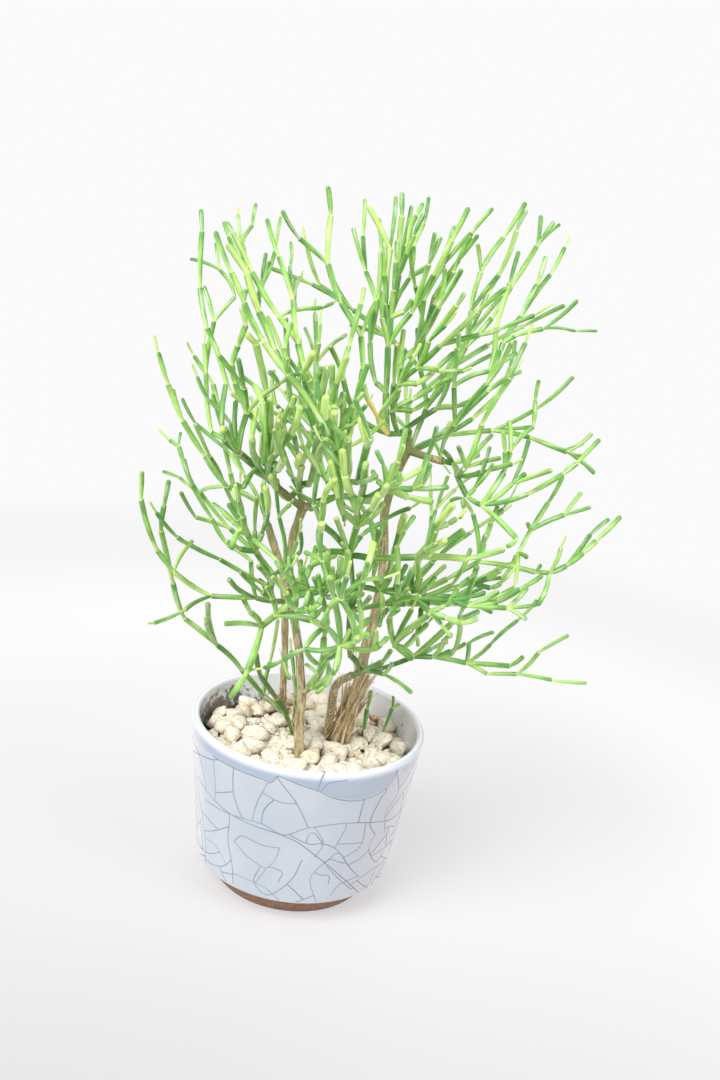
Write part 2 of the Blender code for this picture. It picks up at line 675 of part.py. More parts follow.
def low_right_spray(plant, stems):
    node = "spray_low_right"
    knot(plant, node, stems["stem_bare"], "top", 1.9)
    put = partial(twig, plant, node)
    put(1.7, -52, (361, 672), (350, 655), (350, 613), (353, 587), (350, 556))
    put(1.8, -72, (350, 556), (368, 558), (416, 557), (467, 559), (505, 549))
    put(2.2, -84, (416, 557), (435, 529), (454, 504))
    put(1.5, -46, (416, 557), (413, 592))
    put(1.5, -34, (413, 592), (446, 565))
    put(1.6, -30, (413, 592), (447, 579), (478, 562))
    put(1.5, -18, (478, 562), (535, 572), (549, 573))
    put(1.6, 2, (549, 573), (566, 566), (583, 553), (596, 541), (621, 516))
    put(1.4, 16, (566, 566), (590, 535), (609, 519))
    put(1.7, -30, (549, 573), (537, 606))
    put(1.3, -22, (478, 562), (473, 514), (462, 498))
    put(1.6, -58, (353, 587), (380, 591), (415, 599), (449, 600), (467, 606), (507, 608))
    put(1.5, -36, (507, 608), (527, 588))
    put(1.3, -44, (507, 608), (536, 605))
    put(1.3, -62, (507, 608), (527, 620))
    put(1.3, -20, (467, 606), (514, 588), (518, 553), (530, 531))
    put(1.4, -14, (530, 531), (564, 515), (582, 492))
    put(1.2, -24, (564, 515), (591, 507))
    put(1.4, 2, (530, 531), (548, 503), (563, 476))
    put(1.7, -56, (467, 606), (499, 591))
    put(1.4, -28, (449, 600), (474, 585), (502, 566))
    put(1.4, -40, (415, 599), (452, 585), (471, 548))
    put(1.6, -30, (361, 672), (383, 668), (413, 657))
    put(1.5, -26, (413, 657), (432, 657), (466, 663), (510, 666), (524, 656))
    put(1.2, -44, (466, 663), (487, 674), (517, 674), (539, 652), (569, 635))
    put(1.1, -36, (517, 674), (552, 680), (587, 683))
    put(1.5, -56, (432, 657), (453, 653), (460, 615), (477, 566), (486, 534))
    put(1.2, 20, (466, 663), (490, 645), (517, 621), (537, 600))
    put(1.3, -20, (466, 663), (469, 643), (494, 632))
    put(1.8, -16, (413, 657), (451, 624), (480, 611))
    put(1.4, -52, (361, 672), (383, 674), (412, 693))
    put(1.7, -56, (413, 657), (394, 645), (390, 616))
    put(1.5, -66, (394, 645), (430, 614))
    put(1.8, -80, (350, 556), (357, 526), (372, 509))
    put(1.6, -86, (350, 556), (336, 518))
    put(1.4, -60, (368, 558), (385, 520), (411, 508))
    put(1.5, -66, (368, 558), (379, 530))
    put(1.4, -60, (350, 613), (385, 604), (421, 596))


def seedlings(plant):
    """Two young shoots that stand by themselves at the right of the stems."""
    rooted(plant, "seedling_spike", (364, 729), (371, 690), 1.3, 14 * MM)
    twig(plant, "seedling_spike", 1.4, on_ground((364, 729)).y / MM, (364, 729), (367, 709), (371, 690))
    rooted(plant, "seedling_fork", (383, 732), (393, 707), 1.2, 14 * MM)
    depth = on_ground((383, 732)).y / MM
    twig(plant, "seedling_fork", 1.3, depth, (383, 732), (392, 708))
    twig(plant, "seedling_fork", 1.0, depth - 2, (392, 708), (393, 696))
    twig(plant, "seedling_fork", 1.0, depth + 2, (392, 708), (400, 704))


# Keeping twigs apart

def nearest_fractions(p, pd, q, qd):
    """How far along p + s * pd and q + t * qd the closest points of paired segments lie."""
    gap = p - q
    a = np.einsum("ij,ij->i", pd, pd)
    e = np.einsum("ij,ij->i", qd, qd)
    b = np.einsum("ij,ij->i", pd, qd)
    c = np.einsum("ij,ij->i", pd, gap)
    f = np.einsum("ij,ij->i", qd, gap)
    spread = a * e - b * b
    s = np.where(spread > 1e-14, (b * f - c * e) / np.where(spread > 1e-14, spread, 1), 0.5)
    s = np.clip(s, 0, 1)
    t = np.clip((b * s + f) / e, 0, 1)
    s = np.clip((b * t - c) / a, 0, 1)
    return s, t


def girth_at(neck, tip, share):
    return neck + (tip - neck) * share


def obstacle_arrays(plant, stems):
    """Every twig segment, then every stretch of woody stem, as arrays."""
    starts, ends, necks, tips, nodes = [], [], [], [], []
    for start, end, neck, tip, node in plant.segments:
        starts.append(plant.points[start])
        ends.append(plant.points[end])
        necks.append(neck * MM)
        tips.append(tip * MM)
        nodes.append(node)
    for stem in stems.values():
        for points, radii in stem.runs:
            for i in range(len(points) - 1):
                starts.append(points[i])
                ends.append(points[i + 1])
                necks.append(radii[i] * MM)
                tips.append(radii[i + 1] * MM)
                nodes.append(stem.name)
    return np.array(starts), np.array(ends), np.array(necks), np.array(tips), np.array(nodes)


def settle(plant, stems):
    """Slides joints along their sight lines until twigs of different nodes clear each other."""
    starts, ends, necks, tips, nodes = obstacle_arrays(plant, stems)
    count = len(plant.segments)
    first, second = np.triu_indices(len(nodes), 1)
    keep = (nodes[first] != nodes[second]) & (first < count)
    for knot_segment, stem_name in plant.own_stem.items():
        keep &= ~((first == knot_segment) & (nodes[second] == stem_name))
    first, second = first[keep], second[keep]
    lines = np.array([sight(spot) for spot in plant.spots])
    lines = lines / lines[:, 1:2]
    free = np.array(plant.free, dtype=float)
    depth = np.array([point.y for point in plant.points])
    base = np.array([np.array(p) for p in plant.points]) - lines * depth[:, None]
    joints = np.array([(s[0], s[1]) for s in plant.segments])
    fixed = np.zeros((len(nodes) - count, 2), dtype=int)
    joints = np.vstack([joints, fixed])
    mobile = np.where(np.arange(len(nodes)) < count, 1.0, 0.0)
    for step in range(SETTLE_STEPS):
        points = base + lines * depth[:, None]
        starts[:count] = points[joints[:count, 0]]
        ends[:count] = points[joints[:count, 1]]
        p, pd = starts[first], ends[first] - starts[first]
        q, qd = starts[second], ends[second] - starts[second]
        s, t = nearest_fractions(p, pd, q, qd)
        apart = (p + pd * s[:, None]) - (q + qd * t[:, None])
        distance = np.linalg.norm(apart, axis=1)
        need = girth_at(necks[first], tips[first], s) + girth_at(necks[second], tips[second], t)
        short = need + CLEARANCE - distance
        bad = np.nonzero(short > 0)[0]
        if len(bad) == 0:
            break
        push = np.minimum(short[bad], LARGEST_PUSH) * SETTLE_PUSH
        way = np.where(np.abs(apart[bad, 1]) > 1e-7, np.sign(apart[bad, 1]), 1.0)
        move = np.zeros(len(depth))
        for side, share, sense in ((first, s, 1.0), (second, t, -1.0)):
            piece = side[bad]
            amount = sense * way * push * mobile[piece]
            np.add.at(move, joints[piece, 0], amount * (1 - share[bad]))
            np.add.at(move, joints[piece, 1], amount * share[bad])
        depth += np.clip(move, -LARGEST_SHIFT, LARGEST_SHIFT) * free
    points = base + lines * depth[:, None]
    plant.points = [Vector(point) for point in points]


def clear_of(plant, stems, start, finish, girth, node):
    """Whether a new segment from joint start keeps clear of every other one."""
    starts, ends, necks, tips, nodes = obstacle_arrays(plant, stems)
    touching = [i for i, s in enumerate(plant.segments) if start in (s[0], s[1])]
    p = np.repeat(np.array(plant.points[start])[None, :], len(nodes), axis=0)
    pd = np.array(finish)[None, :] - p
    s, t = nearest_fractions(p, pd, starts, ends - starts)
    distance = np.linalg.norm((p + pd * s[:, None]) - (starts + (ends - starts) * t[:, None]), axis=1)
    need = girth_at(girth * NECK * MM, girth * MM, s) + girth_at(necks, tips, t) + CLEARANCE
    close = distance < need
    close[touching] = False
    return not close.any()


# The far side

BACK_STARTS = {
    "spray_back_left": ("stem_slim", "back"),
    "spray_back_low": ("stem_stout", "low_back"),
    "spray_back_mid": ("stem_stout", "mid_back"),
    "spray_back_high": ("stem_stout", "high_back"),
}
# The far side's twigs fork toward spots scattered through the back half of the crown
BACK_TARGETS = 54
BACK_ROUNDS = 12
BACK_STEP = (19 * MM, 25 * MM)
SHORTEST_STEP = 13 * MM
REACHED = 12 * MM
BACK_TRIES = 14
BACK_STRAY = 0.1
BACK_STRAY_GROWTH = 0.05
TOWARD_TARGETS = 0.7
STRAIGHT_ON = 0.4
BACK_TWIG = 1.5
LAST_BACK_TWIG = 1.25
TURNING_COSTS = 1.5
MOST_FORKS = 3
LEAST_SPREAD = math.radians(24)
CROWN_MIDDLE = Vector((20, 0, 240)) * MM
CROWN_REACH = Vector((116, 112, 112)) * MM
CROWN_CORE = 0.35
BEHIND = 0.12


def make_back(plant, stems):
    """Twigs on the side that the photograph hides, so that the crown is as full there."""
    draw = random.Random(SEED)
    for node, (stem, label) in BACK_STARTS.items():
        knot(plant, node, stems[stem], label, 1.6)
    targets = [back_target(draw) for i in range(BACK_TARGETS)]
    for turn in range(BACK_ROUNDS):
        for joint, group in shared_out(plant, targets).items():
            for bunch in fork(plant, joint, group):
                finish = grow(plant, stems, joint, bunch, draw)
                reached = bunch[:1] if finish is None else near(finish, targets)
                targets = [target for target in targets if target not in reached]


def back_target(draw):
    while True:
        spot = Vector([draw.uniform(-1, 1) for axis in range(3)])
        if CROWN_CORE < spot.length < 1 and spot.y > BEHIND:
            return CROWN_MIDDLE + spot * CROWN_REACH


def near(point, targets):
    return [target for target in targets if (target - point).length < REACHED]


def headings(plant):
    """The direction in which a twig arrives at each joint."""
    return {s[1]: (plant.points[s[1]] - plant.points[s[0]]).normalized() for s in plant.segments}


def shared_out(plant, targets):
    """Each target given to the joint that is near it and faces it."""
    way = {joint: arrived for joint, arrived in headings(plant).items() if plant.node[joint] in BACK_STARTS}
    forks = {joint: sum(s[0] == joint for s in plant.segments) for joint in way}
    able = [joint for joint in way if forks[joint] < MOST_FORKS]
    groups = {}
    for target in targets:
        best = min(able, key=lambda joint: detour(target - plant.points[joint], way[joint]))
        groups.setdefault(best, []).append(target)
    return groups


def detour(left, heading):
    """The length of the way left to a target, made longer where it turns from the heading."""
    return left.length * (TURNING_COSTS - left.normalized().dot(heading))


def fork(plant, joint, group):
    """The joint's targets, in two bunches where they spread to both sides of it."""
    point = plant.points[joint]
    group = sorted(group, key=lambda target: (target - point).length)
    pairs = [(a, b) for a in group for b in group]
    first, second = max(pairs, key=lambda pair: (pair[0] - point).angle(pair[1] - point))
    if (first - point).angle(second - point) < LEAST_SPREAD:
        return [group]
    nearer = [target for target in group if (target - point).angle(first - point)
              <= (target - point).angle(second - point)]
    return [nearer, [target for target in group if target not in nearer]]


def grow(plant, stems, before, bunch, draw):
    """One more segment toward a bunch of targets; the tip's place, or None where it is blocked."""
    point = plant.points[before]
    heading = headings(plant)[before]
    node = plant.node[before]
    aim = sum(((target - point).normalized() for target in bunch), Vector())
    nearest_target = (bunch[0] - point).length
    length = max(SHORTEST_STEP, min(draw.uniform(*BACK_STEP), nearest_target))
    girth = LAST_BACK_TWIG if len(bunch) == 1 else BACK_TWIG
    for attempt in range(BACK_TRIES):
        wander = BACK_STRAY + attempt * BACK_STRAY_GROWTH
        stray = Vector([draw.uniform(-1, 1) for axis in range(3)]) * wander
        way = (aim.normalized() * TOWARD_TARGETS + heading * STRAIGHT_ON + stray).normalized()
        finish = point + way * length
        if clear_of(plant, stems, before, finish, girth, node):
            joint = plant.joint(node, finish)
            plant.segment(before, joint, girth * NECK, girth, node)
            return finish
    return None


# The near side

# Stout young twigs crowd the picture's middle and point at the viewer
CROWD_MIDDLE = (335, 500)
CROWD_REACH = (125, 170)
CROWD_DEPTH = -20 * MM
CROWD_TWIGS = 18
CROWD_TRIES = 1500
CROWD_STEP = (12 * MM, 17 * MM)
CROWD_GIRTH = (1.65, 2.0)
CROWD_LEAN = Vector((0, -1.1, 0.35))
CROWD_STRAIGHT_ON = 0.55
CROWD_FLOW = 0.6
CROWD_STRAY = 0.35
NEAREST = -110 * MM
FLOW_START = Vector((8, 0, 70)) * MM
FLOW_LIFT = Vector((0, 0, 0.45))
SHARPEST_TURN = math.radians(60)


def flow(point):
    """The way that twigs run at a point: out from the stems' foot and up."""
    return ((point - FLOW_START).normalized() + FLOW_LIFT).normalized()


def crowding(point):
    """How closely twigs stand at a point: 1 in the picture's middle and 0 round it."""
    x, y = seen_at(point)
    away = math.hypot((x - CROWD_MIDDLE[0]) / CROWD_REACH[0], (y - CROWD_MIDDLE[1]) / CROWD_REACH[1])
    return max(0.0, 1.0 - away)


def make_crowd(plant, stems):
    """Stout young twigs that stand out toward the viewer from the crown's near joints."""
    draw = random.Random(SEED)
    way = headings(plant)
    forks = {joint: [way[s[1]] for s in plant.segments if s[0] == joint] for joint in way}
    made = 0
    for attempt in range(CROWD_TRIES):
        joint = draw.choice(list(way))
        point = plant.points[joint]
        if point.y > CROWD_DEPTH or len(forks[joint]) >= MOST_FORKS or draw.random() > crowding(point):
            continue
        stray = Vector([draw.gauss(0, CROWD_STRAY) for axis in range(3)])
        onward = way[joint] * CROWD_STRAIGHT_ON + flow(point) * CROWD_FLOW + CROWD_LEAN + stray
        onward.normalize()
        finish = point + onward * draw.uniform(*CROWD_STEP)
        girth = draw.uniform(*CROWD_GIRTH)
        turned_off = onward.angle(way[joint]) > SHARPEST_TURN
        beside = any(onward.angle(other) < LEAST_SPREAD for other in forks[joint])
        if turned_off or beside or finish.y < NEAREST:
            continue
        node = plant.node[joint]
        if clear_of(plant, stems, joint, finish, girth, node):
            tip = plant.joint(node, finish)
            plant.segment(joint, tip, girth * NECK, girth, node)
            forks[joint].append(onward)
            way[tip] = onward
            forks[tip] = []
            made += 1
        if made == CROWD_TWIGS:
            break


# Meshes

def tube(name, points, radii, home):
    """A six-sided tube through the points, as a closed mesh."""
    curve = bpy.data.curves.new(name, "CURVE")
    curve.dimensions = "3D"
    curve.bevel_depth = 1
    curve.bevel_resolution = 1
    curve.use_fill_caps = True
    spline = curve.splines.new("POLY")
    spline.points.add(len(points) - 1)
    for spot, point, radius in zip(spline.points, points, radii):
        spot.co = (*point, 1)
        spot.radius = radius
    guide = add_object(name, curve, home)
    mesh = evaluated_mesh(guide)
    bpy.data.objects.remove(guide, do_unlink=True)
    bpy.data.curves.remove(curve)
    shape = bmesh.new()
    shape.from_mesh(mesh)
    bmesh.ops.remove_doubles(shape, verts=shape.verts, dist=MERGE)
    shape.to_mesh(mesh)
    shape.free()
    return add_object(name, mesh, home)


def club(start, end, neck, tip, turn, home):
    """One twig segment: a cone that widens from its neck to a flat tip."""
    way = (end - start).normalized()
    length = (end - start).length
    placed = Matrix.Translation((start + end) / 2) @ way.to_track_quat("Z", "Y").to_matrix().to_4x4()
    shape = bmesh.new()
    bmesh.ops.create_cone(
        shape,
        cap_ends=True,
        segments=THIN_SIDES if tip <= THIN_GIRTH * MM else SEGMENT_SIDES,
        radius1=neck,
        radius2=tip,
        depth=length,
        matrix=placed @ Matrix.Rotation(turn, 4, "Z"),
    )
    mesh = bpy.data.meshes.new("club")
    shape.to_mesh(mesh)
    shape.free()
    return add_object("club", mesh, home)


def make_stem(stem, home, flakes=()):
    pieces = []
    for points, radii in stem.runs:
        pieces.append(tube(stem.name, points, [radius * MM for radius in radii], home))
    for root, lean, length in flakes:
        pieces.append(club(root, root + lean * length, FLAKE_ROOT, FLAKE_TIP, 0, home))
    return joined(stem.name, pieces, "bark", home)


def bark_flakes(stem, count, length, draw):
    """Slivers of peeling bark that lean off the foot of a stem."""
    foot, knee = stem.runs[0][0][1], stem.runs[0][0][2]
    radius = stem.runs[0][1][1] * MM
    made = []
    for i in range(count):
        angle = 2 * math.pi * i / count + draw.uniform(-0.3, 0.3)
        out = Vector((math.cos(angle), math.sin(angle), 0))
        root = foot.lerp(knee, draw.uniform(*FLAKE_RISE)) + out * radius * FLAKE_SEAT
        lean = (out * FLAKE_LEAN + (knee - foot).normalized()).normalized()
        made.append((root, lean, length * draw.uniform(*FLAKE_LENGTHS)))
    return made


def make_spray(plant, node, home):
    draw = random.Random(node)
    pieces = []
    tips = {segment[1] for segment in plant.segments}
    for start, end, neck, tip, own in plant.segments:
        if own != node:
            continue
        a, b = plant.points[start], plant.points[end]
        sunk = a - (b - a).normalized() * SINK if start in tips else a
        turn = draw.uniform(0, 2 * math.pi)
        pieces.append(club(sunk, b, neck * MM, tip * MM, turn, home))
    return joined(node, pieces, "green", home)


def stem_holes(plant, stems, home):
    """Cutters a little wider than each stem, from its foot to above the pebbles."""
    spots = []
    legs = []
    for stem in stems.values():
        points, radii = stem.runs[0]
        legs.append((points[:3], max(radii[:3]) * MM))
    for start, end, neck, tip, node in plant.segments:
        if plant.points[start].z > SOIL_TOP:
            continue
        onward = [s for s in plant.segments if s[0] == end][0]
        points = [plant.points[start], plant.points[end], plant.points[onward[1]]]
        legs.append((points, max(tip, onward[3]) * MM))
    for points, radius in legs:
        foot, ground, onward = points
        below_foot = foot - (ground - foot).normalized() * HOLE_ROOM
        above = ground + (onward - ground).normalized() * HOLE_RISE
        width = radius + HOLE_ROOM
        cutter = tube("hole", [below_foot, ground, above], [width, width, width], home)
        cutter.hide_render = True
        cutter.display_type = "WIRE"
        spots.append((ground.x, ground.y, width))
    return spots


def build():
    clear_scene()
    home = collection("potted_rhipsalis")
    holes = collection("stem_holes")
    draw = random.Random(SEED)
    stems = woody_stems()
    plant = Plant()
    left_spray(plant, stems)
    low_left_spray(plant)
    front_spray(plant)
    low_centre_spray(plant, stems)
    slim_spray(plant, stems)
    crown_left_spray(plant, stems)
    centre_spray(plant, stems)
    crown_spray(plant, stems)
    top_spray(plant, stems)
    right_spray(plant, stems)
    low_right_spray(plant, stems)
    seedlings(plant)
    settle(plant, stems)
    make_back(plant, stems)
    make_crowd(plant, stems)

    spots = stem_holes(plant, stems, holes)
    make_pot(home)
    make_soil(home, holes)
    make_gravel(home, holes, spots)
    flakes = {
        "stem_stout": bark_flakes(stems["stem_stout"], 9, 15 * MM, draw),
        "stem_left": bark_flakes(stems["stem_left"], 3, 9 * MM, draw),
    }
    for stem in stems.values():
        make_stem(stem, home, flakes.get(stem.name, ()))
    for node in sorted(set(plant.node)):
        make_spray(plant, node, home)


build()
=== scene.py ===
"""Looks of the potted rhipsalis: fine twigs, bark, pumice stones and a crackle-glazed pot.

Metres, +Z up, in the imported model's frame: the origin is the middle of the pot's foot, and the
photographed side faces -Y. The twigs that show follow the same joints as the solids, read from the
photograph as picture points and carried out along their sight lines. Those of the far side are
grown by the solids' rule toward spots of their own, and finer twigs are grown between them all.
"""

import math
import random

import bmesh
import bpy
import numpy as np
from mathutils import Matrix, Vector, noise


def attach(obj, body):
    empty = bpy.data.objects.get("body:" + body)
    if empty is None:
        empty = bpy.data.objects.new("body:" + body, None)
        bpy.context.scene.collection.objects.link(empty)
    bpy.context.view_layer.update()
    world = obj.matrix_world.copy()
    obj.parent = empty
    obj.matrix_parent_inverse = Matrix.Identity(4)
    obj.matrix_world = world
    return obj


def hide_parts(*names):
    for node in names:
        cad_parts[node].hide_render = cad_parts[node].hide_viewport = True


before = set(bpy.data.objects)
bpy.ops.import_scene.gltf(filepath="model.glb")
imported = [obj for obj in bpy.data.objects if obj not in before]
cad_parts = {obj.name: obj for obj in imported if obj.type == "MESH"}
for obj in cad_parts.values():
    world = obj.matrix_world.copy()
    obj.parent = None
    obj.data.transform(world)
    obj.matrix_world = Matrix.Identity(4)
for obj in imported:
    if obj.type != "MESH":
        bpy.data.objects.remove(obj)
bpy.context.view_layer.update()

MM = 0.001

# Pot: outer rim 120 mm across and 90 mm high, on a bare clay foot under the glaze
POT_HEIGHT = 90 * MM
RIM_RADIUS = 60 * MM
WALL = 4.1 * MM
GLAZE_END_RADIUS = 49.6 * MM
GLAZE_END_HEIGHT = 12.3 * MM
FOOT_RADIUS = 38.5 * MM
FLOOR_THICKNESS = 10 * MM
FLOOR_FILLET = 5 * MM

# Filling: potting mix, then a layer of pumice stones up to about 9 mm under the rim
GAP = 0.3 * MM
SOIL_TOP = 68 * MM
GROUND = 79 * MM
STEM_DEPTH = 26 * MM

# Where the photograph was taken from, in pixels of the 720 x 1080 picture and metres
PICTURE_CENTRE = (360, 540)
FOCAL_PIXELS = 1300
LOOKING_DOWN = math.radians(17.8)
TURNED_CLOCKWISE = math.radians(8.0)
DISTANCE_TO_RIM = 668 * MM
PIXEL_SPAN = DISTANCE_TO_RIM / FOCAL_PIXELS
AIM_OFFSET = (-26.0 * MM, -91.1 * MM)

# Twig segments: a narrow neck that widens to a flat tip, which the next neck stands on
NECK = 0.52
LAST_SEGMENT = 0.88
KNOT_FOOT = 0.9
ROOT_FOOT = 0.95
LONGEST_SEGMENT = 40 * MM
CLEARANCE = 0.6 * MM
KNOT_LENGTH = 5 * MM
SNAP_PIXELS = 14
SEED = 20

# Settling: twigs that touch are pushed apart along their sight lines, step by step
SETTLE_STEPS = 260
SETTLE_PUSH = 0.6
LARGEST_PUSH = 1.5 * MM
LARGEST_SHIFT = 2 * MM
PARALLEL = 1e-14
LEVEL = 1e-7


# The photograph's sight lines

def picture_axes():
    down = LOOKING_DOWN
    right = Vector((1, 0, 0))
    up = Vector((0, math.sin(down), math.cos(down)))
    ahead = Vector((0, math.cos(down), -math.sin(down)))
    roll = TURNED_CLOCKWISE
    right_rolled = right * math.cos(roll) + up * math.sin(roll)
    up_rolled = up * math.cos(roll) - right * math.sin(roll)
    return right_rolled, up_rolled, ahead


RIGHT, UP, AHEAD = picture_axes()
RIM_CENTRE = Vector((0, 0, POT_HEIGHT))
EYE = RIM_CENTRE - RIGHT * AIM_OFFSET[0] - UP * AIM_OFFSET[1] - AHEAD * DISTANCE_TO_RIM


def sight(spot):
    across = (spot[0] - PICTURE_CENTRE[0]) / FOCAL_PIXELS
    above = (PICTURE_CENTRE[1] - spot[1]) / FOCAL_PIXELS
    return AHEAD + RIGHT * across + UP * above


def at(spot, depth):
    """The point behind picture point spot that lies at y = depth."""
    line = sight(spot)
    return EYE + line * ((depth - EYE.y) / line.y)


def on_ground(spot):
    """The point behind picture point spot that lies on the gravel."""
    line = sight(spot)
    return EYE + line * ((GROUND - EYE.z) / line.z)


def seen_at(point):
    """The picture point where a point of the part shows."""
    away = point - EYE
    scale = FOCAL_PIXELS / away.dot(AHEAD)
    return (PICTURE_CENTRE[0] + away.dot(RIGHT) * scale, PICTURE_CENTRE[1] - away.dot(UP) * scale)


# Pot and filling

def inner_radius(height):
    """The pot's inner wall, which leans out with its outer wall."""
    slope = (RIM_RADIUS - GLAZE_END_RADIUS) / (POT_HEIGHT - GLAZE_END_HEIGHT)
    return RIM_RADIUS - WALL - (POT_HEIGHT - height) * slope


def arc(centre, radius, start, end, steps):
    angles = [math.radians(start + (end - start) * i / steps) for i in range(steps + 1)]
    return [(centre[0] + radius * math.cos(a), centre[1] + radius * math.sin(a)) for a in angles]


# Woody stems

class Stem:
    """A bark-covered stem: rods between fixed points, which other pieces keep clear of."""

    def __init__(self, name):
        self.name = name
        self.runs = []
        self.ends = {}

    def run(self, points, radii, label=None):
        """One more rod, with a label at its end where a spray stands on it."""
        self.runs.append((points, radii))
        if label:
            self.ends[label] = (points[-1], (points[-1] - points[-2]).normalized())


def below(top, onward, depth):
    """The foot of a stem: its lowest stretch carried on down into the potting mix."""
    lean = (top - onward).normalized()
    lean = Vector((lean.x * 0.5, lean.y * 0.5, -1)).normalized()
    return top + lean * depth


def along(spots, depths):
    return [at(spot, depth * MM) for spot, depth in zip(spots, depths)]


def risen(foot, lean, rise, depths):
    """A stem's route: up through the potting mix, out at picture point foot, then spot by spot."""
    base = on_ground(foot)
    return [below(base, at(rise[0], lean * MM), STEM_DEPTH), base] + along(rise, depths)


def woody_stems():
    """The stems with bark: two slim ones at the left, a stout one at the right, a bare one."""
    left = Stem("stem_left")
    rise = [(302, 693), (299, 650), (291, 600), (289, 565), (293, 535), (303, 508)]
    points = risen((299, 750), -14, [(299, 726)] + rise, [-14, -13, -12, -12, -12, -13, -15])
    left.run(points, [2.6, 2.5, 2.4, 2.2, 2.0, 2.1, 2.0, 2.0, 2.1])
    top = [points[-1]]
    left.run(top + along([(290, 498), (276, 486)], [-18, -22]), [1.9, 1.6, 1.5], "fork_left")
    left.run(top + along([(318, 502), (331, 498)], [-20, -26]), [1.9, 1.7, 1.6], "fork_right")
    left.run(top + along([(301, 499)], [-12]), [1.7, 1.5], "fork_up")
    left.run([points[5]] + along([(283, 601)], [-16]), [1.7, 1.6], "side")
    left.run([points[3]] + along([(308, 690)], [-19]), [1.5, 1.3], "low")

    slim = Stem("stem_slim")
    rise = [(283, 690), (285, 650), (285, 611), (283, 573), (272, 539), (268, 525)]
    points = risen((283, 708), 12, rise, [10, 6, 3, 2, 0, -2])
    slim.run(points, [2.0, 1.9, 1.8, 1.7, 1.8, 2.0, 1.9, 1.8], "top")
    slim.run([points[4], points[4] + Vector((-2, 9, 4)) * MM], [1.5, 1.4], "back")

    stout = Stem("stem_stout")
    rise = [(349, 708), (360, 685), (363, 659), (371, 630), (377, 604), (381, 583), (384, 553)]
    rise += [(384, 515), (394, 476), (405, 457), (407, 450), (408, 440)]
    points = risen((341, 734), 3, rise, [3, 4, 5, 5, 6, 6, 6, 4, 2, 0, 0, 0])
    radii = [4.6, 5.0, 4.5, 3.6, 2.8, 2.5, 2.3, 2.2, 2.2, 2.1, 2.0, 2.0, 2.3, 1.8]
    stout.run(points, radii, "top")
    stout.run([points[-2]] + along([(433, 459), (443, 461)], [-3, -5]), [1.9, 1.8, 1.8], "side")
    stout.run([points[5], points[5] + Vector((5, 10, 5)) * MM], [1.7, 1.6], "low_back")
    stout.run([points[8], points[8] + Vector((-4, 10, 5)) * MM], [1.7, 1.6], "mid_back")
    stout.run([points[10], points[10] + Vector((4, 9, 6)) * MM], [1.6, 1.5], "high_back")

    bare = Stem("stem_bare")
    points = risen((328, 731), -12, [(334, 690), (339, 681), (353, 675)], [-14, -16, -19])
    bare.run(points, [2.2, 2.1, 2.0, 2.0, 1.9], "top")
    return {stem.name: stem for stem in (left, slim, stout, bare)}


# Green twigs

class Plant:
    """Joints and the segments between them; a joint read from the picture keeps its sight line."""

    def __init__(self):
        self.points = []
        self.spots = []
        self.free = []
        self.node = []
        self.roots = set()
        self.segments = []
        self.own_stem = {}

    def joint(self, node, point, spot=None):
        self.points.append(point)
        self.spots.append(spot if spot else seen_at(point))
        self.free.append(spot is not None)
        self.node.append(node)
        return len(self.points) - 1

    def segment(self, start, end, neck, tip, node):
        self.segments.append((start, end, neck, tip, node))

    def sprout(self, start, finish, girth):
        """A new segment from a joint, of the joint's own node; its end."""
        node = self.node[start]
        tip = self.joint(node, finish)
        self.segment(start, tip, girth * NECK, girth, node)
        return tip

    def nearest(self, node, spot):
        own = [i for i, name in enumerate(self.node) if name == node and i not in self.roots]
        best = min(own, key=lambda i: math.dist(self.spots[i], spot))
        if math.dist(self.spots[best], spot) > SNAP_PIXELS:
            raise ValueError(f"{node}: no joint near {spot}, nearest {self.spots[best]}")
        return best


def knot(plant, node, stem, label, girth):
    """The green joint that a spray starts from, just off a woody end."""
    point, heading = stem.ends[label]
    start = plant.joint(node, point + heading * GAP)
    finish = plant.joint(node, point + heading * KNOT_LENGTH)
    plant.roots.add(start)
    plant.own_stem[len(plant.segments)] = stem.name
    plant.segment(start, finish, girth * KNOT_FOOT, girth, node)


def rooted(plant, node, spot, onward, girth, depth=STEM_DEPTH):
    """A green stem that stands in the soil by itself."""
    ground = on_ground(spot)
    foot = plant.joint(node, below(ground, at(onward, ground.y), depth))
    top = plant.joint(node, ground)
    plant.roots.add(foot)
    plant.segment(foot, top, girth * ROOT_FOOT, girth, node)


def twig(plant, node, girth, depth, *spots):
    """A twig from the joint nearest its first spot, ending at depth (mm), one joint a spot."""
    start = plant.nearest(node, spots[0])
    start_depth = plant.points[start].y
    path = [plant.spots[start]] + list(spots[1:])
    lengths = [math.dist(a, b) for a, b in zip(path, path[1:])]
    total = sum(lengths)
    walked = 0
    before = start
    for index, length in enumerate(lengths):
        pieces = max(1, math.ceil(length * PIXEL_SPAN / LONGEST_SEGMENT))
        for piece in range(1, pieces + 1):
            share = piece / pieces
            a, b = path[index], path[index + 1]
            spot = (a[0] + (b[0] - a[0]) * share, a[1] + (b[1] - a[1]) * share)
            part = (walked + length * share) / total
            here = start_depth + (depth * MM - start_depth) * part
            joint = plant.joint(node, at(spot, here), spot)
            last = index == len(lengths) - 1 and piece == pieces
            size = girth * (LAST_SEGMENT if last else 1.0)
            plant.segment(before, joint, size * NECK, size, node)
            before = joint
        walked += length


